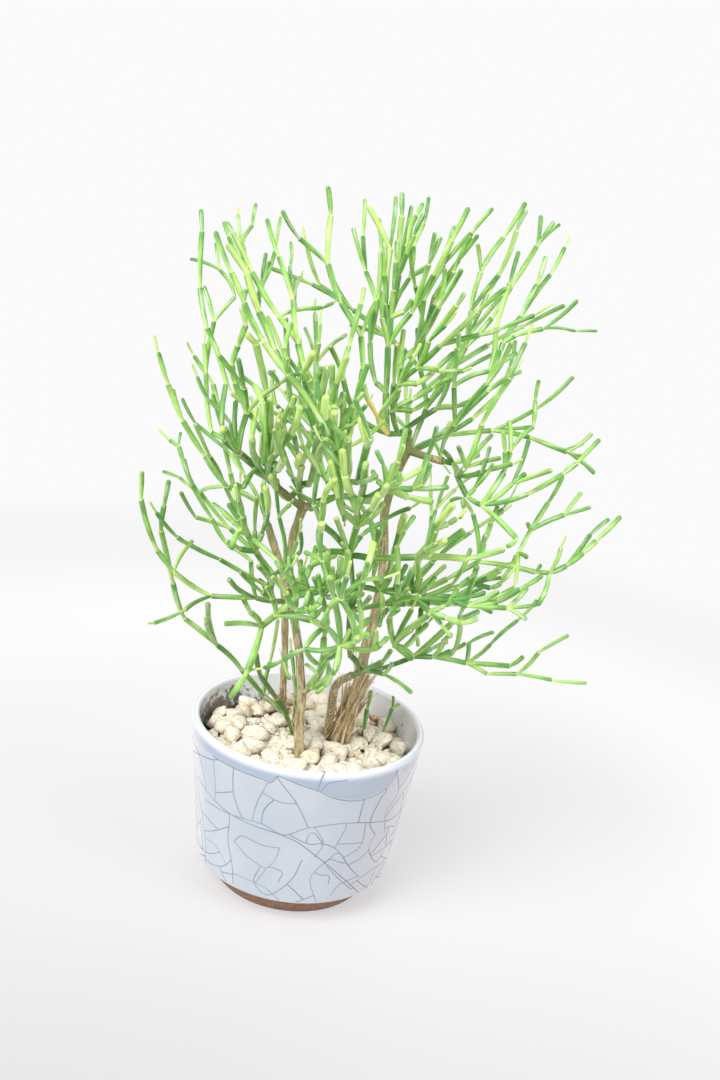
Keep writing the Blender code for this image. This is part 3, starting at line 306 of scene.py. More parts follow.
# Each spray's name with what it starts from, a woody end and a girth or a place in the soil, then its
# twigs. A twig is a girth and the depth of its end in mm, then picture points from a joint outward.
SPRAYS = [
    ("spray_left", "stem_left", "side", 1.7),
    (1.5, -32, (280, 602), (256, 598), (211, 596), (174, 572), (157, 550), (141, 499), (142, 471)),
    (1.7, -48, (256, 598), (229, 579)),
    (1.3, -6, (256, 598), (251, 561), (228, 545), (212, 519), (192, 485), (179, 447), (169, 440)),
    (0.9, -4, (179, 447), (181, 432)),
    (1.3, -50, (280, 602), (263, 584), (219, 559), (190, 545), (177, 537), (156, 512)),
    (1.4, -30, (174, 572), (193, 540)),
    (1.3, -66, (211, 597), (185, 610), (154, 623)),
    (1.7, -52, (280, 602), (270, 578), (256, 552), (247, 534)),
    (1.8, -62, (247, 534), (239, 530), (231, 550)),
    (1.3, -40, (247, 534), (212, 503)),
    (1.4, -44, (247, 534), (240, 514), (237, 482)),
    (1.3, -60, (256, 552), (255, 531), (257, 497)),
    (1.2, -40, (270, 578), (284, 568), (279, 517), (276, 489)),
    (1.4, -46, (279, 517), (290, 505)),
    ("spray_low_left", (286, 717), (266, 698), 1.7),
    (1.6, -22, (286, 717), (264, 696), (241, 669), (217, 645), (184, 618), (173, 583), (161, 530),
     (164, 506), (169, 480)),
    (1.7, -45, (217, 645), (208, 604)),
    (1.4, -38, (217, 645), (206, 623)),
    ("spray_front", (293, 734), (276, 698), 1.6),
    (1.6, -48, (293, 734), (276, 698), (261, 677), (256, 654), (262, 627)),
    (1.6, -62, (262, 627), (224, 624)),
    (1.9, -76, (262, 627), (247, 672), (230, 698)),
    (1.9, -68, (262, 627), (276, 615), (311, 620), (327, 627), (340, 645)),
    (1.9, -76, (340, 645), (335, 672)),
    (1.7, -80, (340, 645), (333, 594), (332, 566)),
    (1.7, -66, (340, 645), (372, 650)),
    (1.8, -86, (340, 645), (355, 642), (341, 598)),
    (1.4, -62, (340, 645), (305, 649), (283, 660), (263, 668)),
    (1.3, -64, (283, 660), (290, 680)),
    (1.4, -74, (311, 620), (309, 590), (300, 570)),
    (1.4, -80, (327, 627), (322, 597), (318, 574)),
    (1.5, -84, (333, 594), (322, 560), (321, 532)),
    (1.4, -82, (341, 598), (362, 581), (384, 578)),
    (1.4, -60, (276, 615), (296, 596), (304, 566)),
    ("spray_low_centre", "stem_left", "low", 1.3),
    (1.3, -30, (313, 687), (328, 659)),
    (1.3, -34, (313, 687), (334, 671)),
    ("spray_slim", "stem_slim", "top", 1.7),
    (1.6, 14, (266, 517), (262, 505), (228, 487), (205, 456), (183, 421), (168, 384), (158, 352)),
    (1.2, 22, (262, 505), (245, 476), (230, 453)),
    (1.2, 36, (230, 453), (196, 424), (182, 398)),
    (1.3, 24, (262, 505), (270, 450), (262, 421), (250, 396)),
    (1.2, 34, (270, 450), (287, 420), (290, 392)),
    (1.2, 44, (262, 421), (232, 394), (222, 364)),
    (1.2, 40, (228, 487), (199, 492), (180, 478)),
    ("spray_crown_left", "stem_left", "fork_left", 1.7),
    (2.0, -44, (270, 482), (239, 453), (224, 440)),
    (1.4, -10, (224, 440), (226, 384), (207, 328), (200, 288), (202, 231), (201, 209)),
    (1.3, 16, (224, 440), (212, 433), (206, 373), (214, 322), (204, 286)),
    (1.1, 24, (214, 322), (235, 297), (220, 270), (190, 259)),
    (1.1, 30, (220, 270), (216, 243)),
    (1.6, -52, (239, 453), (226, 429)),
    (1.6, -34, (239, 453), (247, 413), (235, 383), (232, 365), (238, 346), (246, 325), (241, 307)),
    (1.3, -58, (247, 413), (279, 384), (304, 371)),
    (1.6, -48, (247, 413), (244, 388), (238, 358)),
    (1.5, -30, (239, 453), (236, 400)),
    (1.3, -28, (239, 453), (231, 424), (209, 400), (197, 376)),
    (1.9, -74, (270, 482), (252, 439)),
    (1.9, -40, (270, 482), (271, 466), (267, 394), (256, 344), (246, 333)),
    (1.3, -22, (256, 344), (263, 338)),
    (1.9, -72, (271, 466), (262, 402)),
    (1.8, -84, (270, 482), (277, 453), (284, 429)),
    (1.7, -86, (271, 466), (279, 417)),
    (1.7, -60, (270, 482), (254, 470), (243, 488)),
    ("spray_centre", "stem_left", "fork_up", 1.7),
    (2.0, -62, (300, 492), (309, 484), (320, 455), (328, 438)),
    (1.8, -58, (300, 492), (298, 467)),
    (1.6, -8, (300, 492), (302, 465), (313, 430), (306, 408), (296, 380)),
    (1.5, -4, (302, 465), (288, 443), (281, 415)),
    (1.3, 20, (288, 443), (297, 420), (300, 398)),
    ("spray_crown", "stem_left", "fork_right", 1.7),
    (2.0, -66, (337, 496), (340, 489), (334, 447)),
    (1.8, -82, (334, 447), (333, 426)),
    (2.0, -92, (340, 489), (347, 472), (348, 439)),
    (1.9, -90, (337, 496), (360, 500), (365, 466)),
    (1.7, -100, (340, 489), (357, 482), (376, 476)),
    (2.0, -84, (360, 500), (385, 489), (399, 482)),
    (1.9, -76, (385, 489), (408, 497), (434, 502)),
    (1.6, -60, (385, 489), (412, 489), (449, 487)),
    (1.9, -34, (334, 447), (315, 410), (288, 375), (275, 351), (259, 312), (247, 274), (227, 244)),
    (1.3, -6, (247, 274), (229, 238), (224, 222)),
    (1.6, -44, (288, 375), (264, 342), (244, 303), (231, 272), (215, 231)),
    (1.9, -52, (334, 447), (321, 416), (316, 392), (304, 367)),
    (1.5, -24, (304, 367), (298, 344), (279, 317), (252, 272), (233, 233), (226, 222)),
    (1.4, 4, (298, 344), (293, 300), (279, 257), (267, 219)),
    (1.3, 8, (293, 300), (301, 277)),
    (1.2, 30, (293, 300), (290, 267), (291, 242)),
    (1.2, -8, (279, 317), (322, 308), (333, 303)),
    (1.4, 22, (259, 312), (262, 286), (266, 254)),
    (1.2, 44, (262, 286), (275, 252), (281, 217)),
    (1.2, 30, (247, 274), (252, 226), (256, 204)),
    (1.2, 44, (247, 274), (243, 246), (238, 215)),
    (1.5, 6, (321, 416), (316, 364), (315, 313)),
    (1.3, 22, (316, 364), (346, 335)),
    (1.2, 18, (316, 364), (305, 328)),
    (1.8, -64, (321, 416), (321, 366)),
    (1.8, -70, (321, 416), (329, 366)),
    (1.7, -72, (334, 447), (331, 411), (337, 383)),
    (1.7, -66, (334, 447), (341, 428), (343, 394)),
    (1.6, -12, (340, 489), (346, 452), (348, 433), (357, 399), (363, 369), (361, 336), (341, 303),
     (328, 264), (331, 215), (328, 186)),
    (1.3, -26, (328, 264), (299, 238), (282, 210)),
    (1.3, 46, (361, 336), (376, 302), (366, 272), (363, 237), (365, 199)),
    ("spray_top", "stem_stout", "top", 2.0),
    (1.8, -12, (409, 431), (399, 434), (388, 434)),
    (1.5, -50, (388, 434), (359, 419), (343, 378), (330, 346)),
    (1.4, -20, (343, 378), (349, 346), (361, 304), (364, 287)),
    (1.8, 12, (388, 434), (386, 393), (388, 347), (386, 305), (390, 249), (368, 206)),
    (1.4, 46, (390, 249), (396, 197)),
    (1.5, 34, (386, 393), (376, 383), (370, 343), (378, 300), (381, 252), (378, 218)),
    (1.6, 14, (388, 347), (391, 318), (399, 275), (402, 216), (402, 192)),
    (1.4, 30, (399, 275), (403, 246), (416, 216), (423, 203)),
    (1.3, 44, (391, 318), (409, 279), (414, 247)),
    (1.6, 4, (388, 347), (411, 313), (434, 275), (452, 240), (469, 207)),
    (1.4, -10, (411, 313), (429, 264), (435, 232)),
    (1.4, 24, (434, 275), (454, 226)),
    (1.5, -44, (399, 434), (392, 410), (394, 384), (397, 344)),
    (1.6, -10, (392, 410), (399, 385), (416, 369)),
    (1.4, -46, (416, 369), (441, 371), (464, 371)),
    (1.5, 10, (399, 385), (400, 364), (415, 349)),
    (1.4, 16, (415, 349), (424, 300), (444, 264), (472, 233), (493, 208)),
    (1.5, -4, (415, 349), (434, 304), (454, 271), (471, 236)),
    (1.6, -16, (415, 349), (439, 307), (462, 269)),
    (1.5, -30, (416, 369), (429, 341), (457, 305), (465, 293)),
    (1.3, -24, (429, 341), (446, 325)),
    (1.6, -40, (416, 369), (440, 346), (478, 311), (506, 288)),
    (1.4, -26, (440, 346), (480, 335), (500, 329), (535, 315)),
    (1.5, -6, (399, 434), (436, 409), (450, 376)),
    (1.4, 20, (450, 376), (466, 347), (492, 318), (511, 287), (537, 246), (541, 215)),
    (1.1, 26, (537, 246), (560, 224)),
    (1.4, 8, (466, 347), (471, 311), (481, 272), (504, 237), (526, 202)),
    (1.4, -12, (471, 311), (499, 275), (517, 230), (527, 210)),
    (1.5, -56, (388, 434), (378, 418), (367, 398)),
    ("spray_right", "stem_stout", "side", 1.7),
    (1.4, -30, (449, 462), (442, 450), (455, 425), (454, 386), (458, 348), (459, 332)),
    (1.6, -38, (455, 425), (487, 384), (512, 342)),
    (1.4, 2, (454, 386), (489, 371), (496, 327), (510, 283), (519, 251)),
    (1.5, 12, (489, 371), (503, 343), (521, 317), (537, 285), (546, 256)),
    (1.3, 26, (521, 317), (550, 275), (565, 247)),
    (1.3, -6, (503, 343), (515, 336), (543, 329), (578, 300)),
    (0.9, 10, (543, 329), (575, 331), (597, 331)),
    (1.4, -20, (455, 425), (488, 391), (510, 376), (522, 371)),
    (1.7, -30, (449, 462), (457, 476), (465, 468)),
    (1.4, -44, (465, 468), (458, 446)),
    (1.5, -22, (465, 468), (501, 458)),
    (1.5, 8, (465, 468), (492, 435)),
    (1.5, -34, (465, 468), (482, 424), (510, 378), (526, 342)),
    (1.5, -34, (457, 476), (482, 473), (513, 464)),
    (1.6, -34, (457, 476), (467, 496), (481, 505)),
    (1.6, -22, (481, 505), (504, 472), (510, 452), (509, 420)),
    (1.3, 4, (510, 452), (533, 427), (535, 401), (539, 380)),
    (1.5, -16, (481, 505), (528, 494), (563, 474), (577, 463), (600, 439)),
    (1.5, -50, (481, 505), (517, 539), (506, 547)),
    (1.4, -24, (481, 505), (512, 484), (529, 439)),
    (1.5, -46, (512, 484), (552, 470)),
    ("spray_low_right", "stem_bare", "top", 1.9),
    (1.7, -52, (361, 672), (350, 655), (350, 613), (353, 587), (350, 556)),
    (1.8, -72, (350, 556), (368, 558), (416, 557), (467, 559), (505, 549)),
    (2.2, -84, (416, 557), (435, 529), (454, 504)),
    (1.5, -46, (416, 557), (413, 592)),
    (1.5, -34, (413, 592), (446, 565)),
    (1.6, -30, (413, 592), (447, 579), (478, 562)),
    (1.5, -18, (478, 562), (535, 572), (549, 573)),
    (1.6, 2, (549, 573), (566, 566), (583, 553), (596, 541), (621, 516)),
    (1.4, 16, (566, 566), (590, 535), (609, 519)),
    (1.7, -30, (549, 573), (537, 606)),
    (1.3, -22, (478, 562), (473, 514), (462, 498)),
    (1.6, -58, (353, 587), (380, 591), (415, 599), (449, 600), (467, 606), (507, 608)),
    (1.5, -36, (507, 608), (527, 588)),
    (1.3, -44, (507, 608), (536, 605)),
    (1.3, -62, (507, 608), (527, 620)),
    (1.3, -20, (467, 606), (514, 588), (518, 553), (530, 531)),
    (1.4, -14, (530, 531), (564, 515), (582, 492)),
    (1.2, -24, (564, 515), (591, 507)),
    (1.4, 2, (530, 531), (548, 503), (563, 476)),
    (1.7, -56, (467, 606), (499, 591)),
    (1.4, -28, (449, 600), (474, 585), (502, 566)),
    (1.4, -40, (415, 599), (452, 585), (471, 548)),
    (1.6, -30, (361, 672), (383, 668), (413, 657)),
    (1.5, -26, (413, 657), (432, 657), (466, 663), (510, 666), (524, 656)),
    (1.2, -44, (466, 663), (487, 674), (517, 674), (539, 652), (569, 635)),
    (1.1, -36, (517, 674), (552, 680), (587, 683)),
    (1.5, -56, (432, 657), (453, 653), (460, 615), (477, 566), (486, 534)),
    (1.2, 20, (466, 663), (490, 645), (517, 621), (537, 600)),
    (1.3, -20, (466, 663), (469, 643), (494, 632)),
    (1.8, -16, (413, 657), (451, 624), (480, 611)),
    (1.4, -52, (361, 672), (383, 674), (412, 693)),
    (1.7, -56, (413, 657), (394, 645), (390, 616)),
    (1.5, -66, (394, 645), (430, 614)),
    (1.8, -80, (350, 556), (357, 526), (372, 509)),
    (1.6, -86, (350, 556), (336, 518)),
    (1.4, -60, (368, 558), (385, 520), (411, 508)),
    (1.5, -66, (368, 558), (379, 530)),
    (1.4, -60, (350, 613), (385, 604), (421, 596)),
]


def add_sprays(plant, stems):
    for first, *rest in SPRAYS:
        if not isinstance(first, str):
            twig(plant, node, first, *rest)
            continue
        node = first
        if rest[0] in stems:
            stem, label, girth = rest
            knot(plant, node, stems[stem], label, girth)
        else:
            rooted(plant, node, *rest)


def seedlings(plant):
    """Two young shoots that stand by themselves at the right of the stems."""
    rooted(plant, "seedling_spike", (364, 729), (371, 690), 1.3, 14 * MM)
    depth = on_ground((364, 729)).y / MM
    twig(plant, "seedling_spike", 1.4, depth, (364, 729), (367, 709), (371, 690))
    rooted(plant, "seedling_fork", (383, 732), (393, 707), 1.2, 14 * MM)
    depth = on_ground((383, 732)).y / MM
    twig(plant, "seedling_fork", 1.3, depth, (383, 732), (392, 708))
    twig(plant, "seedling_fork", 1.0, depth - 2, (392, 708), (393, 696))
    twig(plant, "seedling_fork", 1.0, depth + 2, (392, 708), (400, 704))


# Keeping twigs apart

def nearest_fractions(p, pd, q, qd):
    """How far along p + s * pd and q + t * qd the closest points of paired segments lie."""
    gap = p - q
    a = np.einsum("ij,ij->i", pd, pd)
    e = np.einsum("ij,ij->i", qd, qd)
    b = np.einsum("ij,ij->i", pd, qd)
    c = np.einsum("ij,ij->i", pd, gap)
    f = np.einsum("ij,ij->i", qd, gap)
    spread = a * e - b * b
    apart = spread > PARALLEL
    s = np.where(apart, (b * f - c * e) / np.where(apart, spread, 1), 0.5)
    s = np.clip(s, 0, 1)
    t = np.clip((b * s + f) / e, 0, 1)
    s = np.clip((b * t - c) / a, 0, 1)
    return s, t


def gaps_to(start, finish, starts, ends):
    """How far one segment is from each of the others, and how far along them that is."""
    p = np.repeat(np.array(start)[None, :], len(starts), axis=0)
    pd = np.array(finish)[None, :] - p
    s, t = nearest_fractions(p, pd, starts, ends - starts)
    apart = (p + pd * s[:, None]) - (starts + (ends - starts) * t[:, None])
    return np.linalg.norm(apart, axis=1), s, t


def girth_at(neck, tip, share):
    return neck + (tip - neck) * share


def obstacle_arrays(plant, stems):
    """Every twig segment, then every stretch of woody stem, as arrays."""
    starts, ends, necks, tips, nodes = [], [], [], [], []
    for start, end, neck, tip, node in plant.segments:
        starts.append(plant.points[start])
        ends.append(plant.points[end])
        necks.append(neck * MM)
        tips.append(tip * MM)
        nodes.append(node)
    for stem in stems.values():
        for points, radii in stem.runs:
            for i in range(len(points) - 1):
                starts.append(points[i])
                ends.append(points[i + 1])
                necks.append(radii[i] * MM)
                tips.append(radii[i + 1] * MM)
                nodes.append(stem.name)
    return np.array(starts), np.array(ends), np.array(necks), np.array(tips), np.array(nodes)


def settle(plant, stems):
    """Slides joints along their sight lines until twigs of different nodes clear each other."""
    starts, ends, necks, tips, nodes = obstacle_arrays(plant, stems)
    count = len(plant.segments)
    first, second = np.triu_indices(len(nodes), 1)
    keep = (nodes[first] != nodes[second]) & (first < count)
    for knot_segment, stem_name in plant.own_stem.items():
        keep &= ~((first == knot_segment) & (nodes[second] == stem_name))
    first, second = first[keep], second[keep]
    lines = np.array([sight(spot) for spot in plant.spots])
    lines = lines / lines[:, 1:2]
    free = np.array(plant.free, dtype=float)
    depth = np.array([point.y for point in plant.points])
    base = np.array([np.array(p) for p in plant.points]) - lines * depth[:, None]
    joints = np.array([(s[0], s[1]) for s in plant.segments])
    fixed = np.zeros((len(nodes) - count, 2), dtype=int)
    joints = np.vstack([joints, fixed])
    mobile = np.where(np.arange(len(nodes)) < count, 1.0, 0.0)
    for step in range(SETTLE_STEPS):
        points = base + lines * depth[:, None]
        starts[:count] = points[joints[:count, 0]]
        ends[:count] = points[joints[:count, 1]]
        p, pd = starts[first], ends[first] - starts[first]
        q, qd = starts[second], ends[second] - starts[second]
        s, t = nearest_fractions(p, pd, q, qd)
        apart = (p + pd * s[:, None]) - (q + qd * t[:, None])
        distance = np.linalg.norm(apart, axis=1)
        need = girth_at(necks[first], tips[first], s) + girth_at(necks[second], tips[second], t)
        short = need + CLEARANCE - distance
        bad = np.nonzero(short > 0)[0]
        if len(bad) == 0:
            break
        push = np.minimum(short[bad], LARGEST_PUSH) * SETTLE_PUSH
        way = np.where(np.abs(apart[bad, 1]) > LEVEL, np.sign(apart[bad, 1]), 1.0)
        move = np.zeros(len(depth))
        for side, share, sense in ((first, s, 1.0), (second, t, -1.0)):
            piece = side[bad]
            amount = sense * way * push * mobile[piece]
            np.add.at(move, joints[piece, 0], amount * (1 - share[bad]))
            np.add.at(move, joints[piece, 1], amount * share[bad])
        depth += np.clip(move, -LARGEST_SHIFT, LARGEST_SHIFT) * free
    points = base + lines * depth[:, None]
    plant.points = [Vector(point) for point in points]


def clear_of(plant, stems, start, finish, girth):
    """Whether a new segment from joint start keeps clear of every other one."""
    starts, ends, necks, tips = obstacle_arrays(plant, stems)[:4]
    distance, s, t = gaps_to(plant.points[start], finish, starts, ends)
    need = girth_at(girth * NECK * MM, girth * MM, s) + girth_at(necks, tips, t) + CLEARANCE
    close = distance < need
    close[[i for i, s in enumerate(plant.segments) if start in (s[0], s[1])]] = False
    return not close.any()


# The far side

BACK_STARTS = {
    "spray_back_left": ("stem_slim", "back"),
    "spray_back_low": ("stem_stout", "low_back"),
    "spray_back_mid": ("stem_stout", "mid_back"),
    "spray_back_high": ("stem_stout", "high_back"),
}
# The far side's twigs fork toward spots scattered through the back half of the crown
BACK_TARGETS = 54
BACK_ROUNDS = 12
BACK_STEP = (19 * MM, 25 * MM)
SHORTEST_STEP = 13 * MM
REACHED = 12 * MM
BACK_TRIES = 14
BACK_STRAY = 0.1
BACK_STRAY_GROWTH = 0.05
TOWARD_TARGETS = 0.7
STRAIGHT_ON = 0.4
BACK_KNOT = 1.6
BACK_TWIG = 1.5
LAST_BACK_TWIG = 1.25
TURNING_COSTS = 1.5
MOST_FORKS = 3
LEAST_SPREAD = math.radians(24)
CROWN_MIDDLE = Vector((20, 0, 240)) * MM
CROWN_REACH = Vector((116, 112, 112)) * MM
CROWN_CORE = 0.35
# How far behind the crown's middle its spots start, as a share of its reach
BACK_FROM = 0.01


def make_back(plant, stems):
    """Twigs on the side that the photograph hides, so that the crown is as full there."""
    draw = random.Random(SEED)
    for node, (stem, label) in BACK_STARTS.items():
        knot(plant, node, stems[stem], label, BACK_KNOT)
    targets = [back_target(draw) for i in range(BACK_TARGETS)]
    for turn in range(BACK_ROUNDS):
        for joint, group in shared_out(plant, targets).items():
            for bunch in fork(plant, joint, group):
                finish = grow(plant, stems, joint, bunch, draw)
                reached = bunch[:1] if finish is None else near(finish, targets)
                targets = [target for target in targets if target not in reached]


def back_target(draw):
    while True:
        spot = Vector([draw.uniform(-1, 1) for axis in range(3)])
        if CROWN_CORE < spot.length < 1 and spot.y > BACK_FROM:
            return CROWN_MIDDLE + spot * CROWN_REACH


def near(point, targets):
    return [target for target in targets if (target - point).length < REACHED]


def headings(plant):
    """The direction in which a twig arrives at each joint."""
    return {s[1]: (plant.points[s[1]] - plant.points[s[0]]).normalized() for s in plant.segments}


def shared_out(plant, targets):
    """Each target given to the joint that is near it and faces it."""
    way = headings(plant)
    way = {joint: way[joint] for joint in way if plant.node[joint] in BACK_STARTS}
    forks = {joint: sum(s[0] == joint for s in plant.segments) for joint in way}
    able = [joint for joint in way if forks[joint] < MOST_FORKS]
    groups = {}
    for target in targets:
        best = min(able, key=lambda joint: detour(target - plant.points[joint], way[joint]))
        groups.setdefault(best, []).append(target)
    return groups


def detour(left, heading):
    """The length of the way left to a target, made longer where it turns from the heading."""
    return left.length * (TURNING_COSTS - left.normalized().dot(heading))


def fork(plant, joint, group):
    """The joint's targets, in two bunches where they spread to both sides of it."""
    point = plant.points[joint]
    group = sorted(group, key=lambda target: (target - point).length)
    pairs = [(a, b) for a in group for b in group]
    first, second = max(pairs, key=lambda pair: (pair[0] - point).angle(pair[1] - point))
    if (first - point).angle(second - point) < LEAST_SPREAD:
        return [group]
    nearer = [target for target in group if (target - point).angle(first - point)
              <= (target - point).angle(second - point)]
    return [nearer, [target for target in group if target not in nearer]]


def grow(plant, stems, before, bunch, draw):
    """One more segment toward a bunch of targets; the tip's place, or None where it is blocked."""
    point = plant.points[before]
    heading = headings(plant)[before]
    aim = sum(((target - point).normalized() for target in bunch), Vector())
    nearest_target = (bunch[0] - point).length
    length = max(SHORTEST_STEP, min(draw.uniform(*BACK_STEP), nearest_target))
    girth = LAST_BACK_TWIG if len(bunch) == 1 else BACK_TWIG
    for attempt in range(BACK_TRIES):
        wander = BACK_STRAY + attempt * BACK_STRAY_GROWTH
        stray = Vector([draw.uniform(-1, 1) for axis in range(3)]) * wander
        way = (aim.normalized() * TOWARD_TARGETS + heading * STRAIGHT_ON + stray).normalized()
        finish = point + way * length
        if clear_of(plant, stems, before, finish, girth):
            plant.sprout(before, finish, girth)
            return finish
    return None


# The near side

# Stout young twigs crowd the picture's middle and point at the viewer
CROWD_MIDDLE = (335, 500)
CROWD_REACH = (125, 170)
CROWD_DEPTH = -20 * MM
CROWD_TWIGS = 18
CROWD_TRIES = 1500
CROWD_STEP = (12 * MM, 17 * MM)
CROWD_GIRTH = (1.65, 2.0)
CROWD_LEAN = Vector((0, -1.1, 0.35))
CROWD_STRAIGHT_ON = 0.55
CROWD_FLOW = 0.6
CROWD_STRAY = 0.35
NEAREST = -110 * MM
FLOW_START = Vector((8, 0, 70)) * MM
FLOW_LIFT = Vector((0, 0, 0.45))
SHARPEST_TURN = math.radians(60)


def flow(point):
    """The way that twigs run at a point: out from the stems' foot and up."""
    return ((point - FLOW_START).normalized() + FLOW_LIFT).normalized()


def crowding(point):
    """How closely twigs stand at a point: 1 in the picture's middle and 0 round it."""
    x, y = seen_at(point)
    aside, above = (x - CROWD_MIDDLE[0]) / CROWD_REACH[0], (y - CROWD_MIDDLE[1]) / CROWD_REACH[1]
    return max(0.0, 1.0 - math.hypot(aside, above))


def make_crowd(plant, stems):
    """Stout young twigs that stand out toward the viewer from the crown's near joints."""
    draw = random.Random(SEED)
    way = headings(plant)
    forks = {joint: [way[s[1]] for s in plant.segments if s[0] == joint] for joint in way}
    made = 0
    for attempt in range(CROWD_TRIES):
        joint = draw.choice(list(way))
        point = plant.points[joint]
        if point.y > CROWD_DEPTH or len(forks[joint]) >= MOST_FORKS:
            continue
        if draw.random() > crowding(point):
            continue
        stray = Vector([draw.gauss(0, CROWD_STRAY) for axis in range(3)])
        onward = way[joint] * CROWD_STRAIGHT_ON + flow(point) * CROWD_FLOW + CROWD_LEAN + stray
        onward.normalize()
        finish = point + onward * draw.uniform(*CROWD_STEP)
        girth = draw.uniform(*CROWD_GIRTH)
        turned_off = onward.angle(way[joint]) > SHARPEST_TURN
        beside = any(onward.angle(other) < LEAST_SPREAD for other in forks[joint])
        if turned_off or beside or finish.y < NEAREST:
            continue
        if clear_of(plant, stems, joint, finish, girth):
            tip = plant.sprout(joint, finish, girth)
            forks[joint].append(onward)
            way[tip] = onward
            forks[tip] = []
            made += 1
        if made == CROWD_TWIGS:
            break


# Mesh building

def linked(name, data):
    """A new object in the scene."""
    obj = bpy.data.objects.new(name, data)
    bpy.context.scene.collection.objects.link(obj)
    return obj


def limited(value, low=0.0):
    return min(1.0, max(low, value))


class Skin:
    """Points, faces and a colour for each point, gathered into one mesh."""

    def __init__(self):
        self.points = []
        self.faces = []
        self.marks = []
        self.grain = []

    def rings(self, rings, marks):
        """Joins rings of points into a skin with closed ends; marks gives one colour a ring."""
        first = sum(len(block) for block in self.points)
        sides = len(rings[0])
        for ring, mark in zip(rings, marks):
            self.points.append(ring)
            self.marks.append(np.tile(np.array(mark), (sides, 1)))
        for row in range(len(rings) - 1):
            a = first + row * sides
            for i in range(sides):
                j = (i + 1) % sides
                self.faces.append((a + i, a + j, a + sides + j, a + sides + i))
        last = first + (len(rings) - 1) * sides
        self.faces.append(tuple(first + i for i in reversed(range(sides))))
        self.faces.append(tuple(last + i for i in range(sides)))

    def shape(self, points, faces, mark):
        first = sum(len(block) for block in self.points)
        self.points.append(points)
        self.marks.append(np.tile(np.array(mark), (len(points), 1)))
        self.faces += [tuple(first + i for i in face) for face in faces]

    def made(self, name, material, sharp=60):
        mesh = bpy.data.meshes.new(name)
        mesh.from_pydata(np.vstack(self.points).tolist(), [], self.faces)
        colours = mesh.color_attributes.new(name="marks", type="FLOAT_COLOR", domain="POINT")
        colours.data.foreach_set("color", np.vstack(self.marks).astype(np.float32).ravel())
        if self.grain:
            grain = mesh.attributes.new("grain", "FLOAT_VECTOR", "POINT")
            grain.data.foreach_set("vector", np.vstack(self.grain).astype(np.float32).ravel())
        mesh.materials.append(material)
        mesh.shade_smooth()
        mesh.set_sharp_from_angle(angle=math.radians(sharp))
        return linked(name, mesh)


def fit_in(piece, slot, *nodes):
    """The piece rides on the one body and stands for the nodes; the slot is not used."""
    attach(piece, "root")
    if nodes:
        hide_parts(*nodes)


def across(way):
    """Two directions square to a way, as arrays."""
    side = way.orthogonal().normalized()
    other = way.cross(side)
    return np.array(side), np.array(other)


def circle(centre, side, other, radius, sides, turn=0.0):
    angles = turn + np.arange(sides) * (2 * math.pi / sides)
    radii = np.asarray(radius)
    swing = np.cos(angles)[:, None] * side + np.sin(angles)[:, None] * other
    return np.array(centre) + swing * (radii[:, None] if radii.ndim else radii)


# Twigs read from the photograph that the solids leave out

DEPTH_SHIFTS = (0, -5, 5, -10, 10, -16, 16, 0)


def traced(plant, room, node, girth, depth, *spots):
    """A twig from spot to spot, moved nearer or farther until it is clear of the others."""
    joints, segments = len(plant.points), len(plant.segments)
    for shift in DEPTH_SHIFTS:
        for kept in (plant.points, plant.spots, plant.free, plant.node):
            del kept[joints:]
        del plant.segments[segments:]
        twig(plant, node, girth, depth + shift, *spots)
        new = [(plant.points[s[0]], plant.points[s[1]], s[3] * MM) for s in plant.segments[segments:]]
        if all(room.clear(start, end, size) for start, end, size in new):
            break
    for start, end, size in new:
        room.add(start, end, size)


# Short old twigs that cross in front of the stems, low down, each after the name of its spray
LOW_TWIGS = [
    "spray_front",
    (1.6, -56, (305, 649), (317, 664)),
    (1.7, -54, (305, 649), (323, 628)),
    (1.6, -76, (309, 590), (292, 583), (285, 576), (281, 565)),
    (1.4, -80, (285, 576), (292, 566)),
    (1.6, -72, (309, 590), (317, 589), (330, 586)),
    (1.5, -74, (317, 589), (313, 577)),
    (1.5, -78, (317, 589), (326, 577)),
    (2.0, -72, (355, 642), (354, 635), (369, 619)),
    (1.5, -70, (372, 650), (376, 630)),
    (1.9, -42, (296, 596), (304, 582), (311, 566)),
    (1.5, -34, (296, 596), (300, 580), (301, 560)),
    (1.4, -22, (293, 734), (297, 700), (294, 676), (291, 650)),
    (1.5, -76, (322, 597), (338, 580), (345, 571)),
    (1.6, -70, (262, 627), (250, 612), (243, 598)),
    (1.5, -62, (276, 615), (272, 598), (266, 586)),
    (1.6, -66, (276, 615), (290, 604), (287, 588)),
    "spray_low_right",
    (1.6, -56, (350, 613), (363, 593)),
    (1.6, -60, (350, 613), (358, 609), (370, 597)),
    (1.7, -52, (394, 645), (412, 609)),
    (1.6, -40, (394, 645), (403, 648), (416, 635), (428, 623)),
    (1.3, -38, (416, 635), (418, 646)),
    (1.6, -40, (361, 672), (382, 662), (391, 650)),
    (1.4, -50, (390, 616), (396, 602)),
    (1.4, -54, (380, 591), (382, 610), (379, 627)),
    (1.5, -50, (413, 592), (403, 576)),
    (1.5, -44, (413, 592), (412, 570)),
    (1.6, -62, (353, 587), (366, 574), (372, 560)),
    (1.6, -56, (380, 591), (390, 577), (397, 565)),
    (1.6, -70, (350, 556), (342, 543)),
    (1.7, -66, (350, 613), (340, 600), (327, 597)),
    (1.5, -48, (415, 599), (428, 586), (436, 576)),
    (1.4, -36, (432, 657), (444, 640), (452, 634)),
    "spray_left",
    (1.6, -48, (280, 602), (272, 584), (258, 566)),
    (1.5, -40, (280, 602), (262, 592), (240, 572)),
    "spray_low_left",
    (1.3, 10, (264, 696), (270, 662), (278, 619)),
    "spray_low_centre",
    (1.5, -30, (313, 687), (317, 674), (324, 652)),
    (1.3, -24, (317, 674), (305, 664)),
]
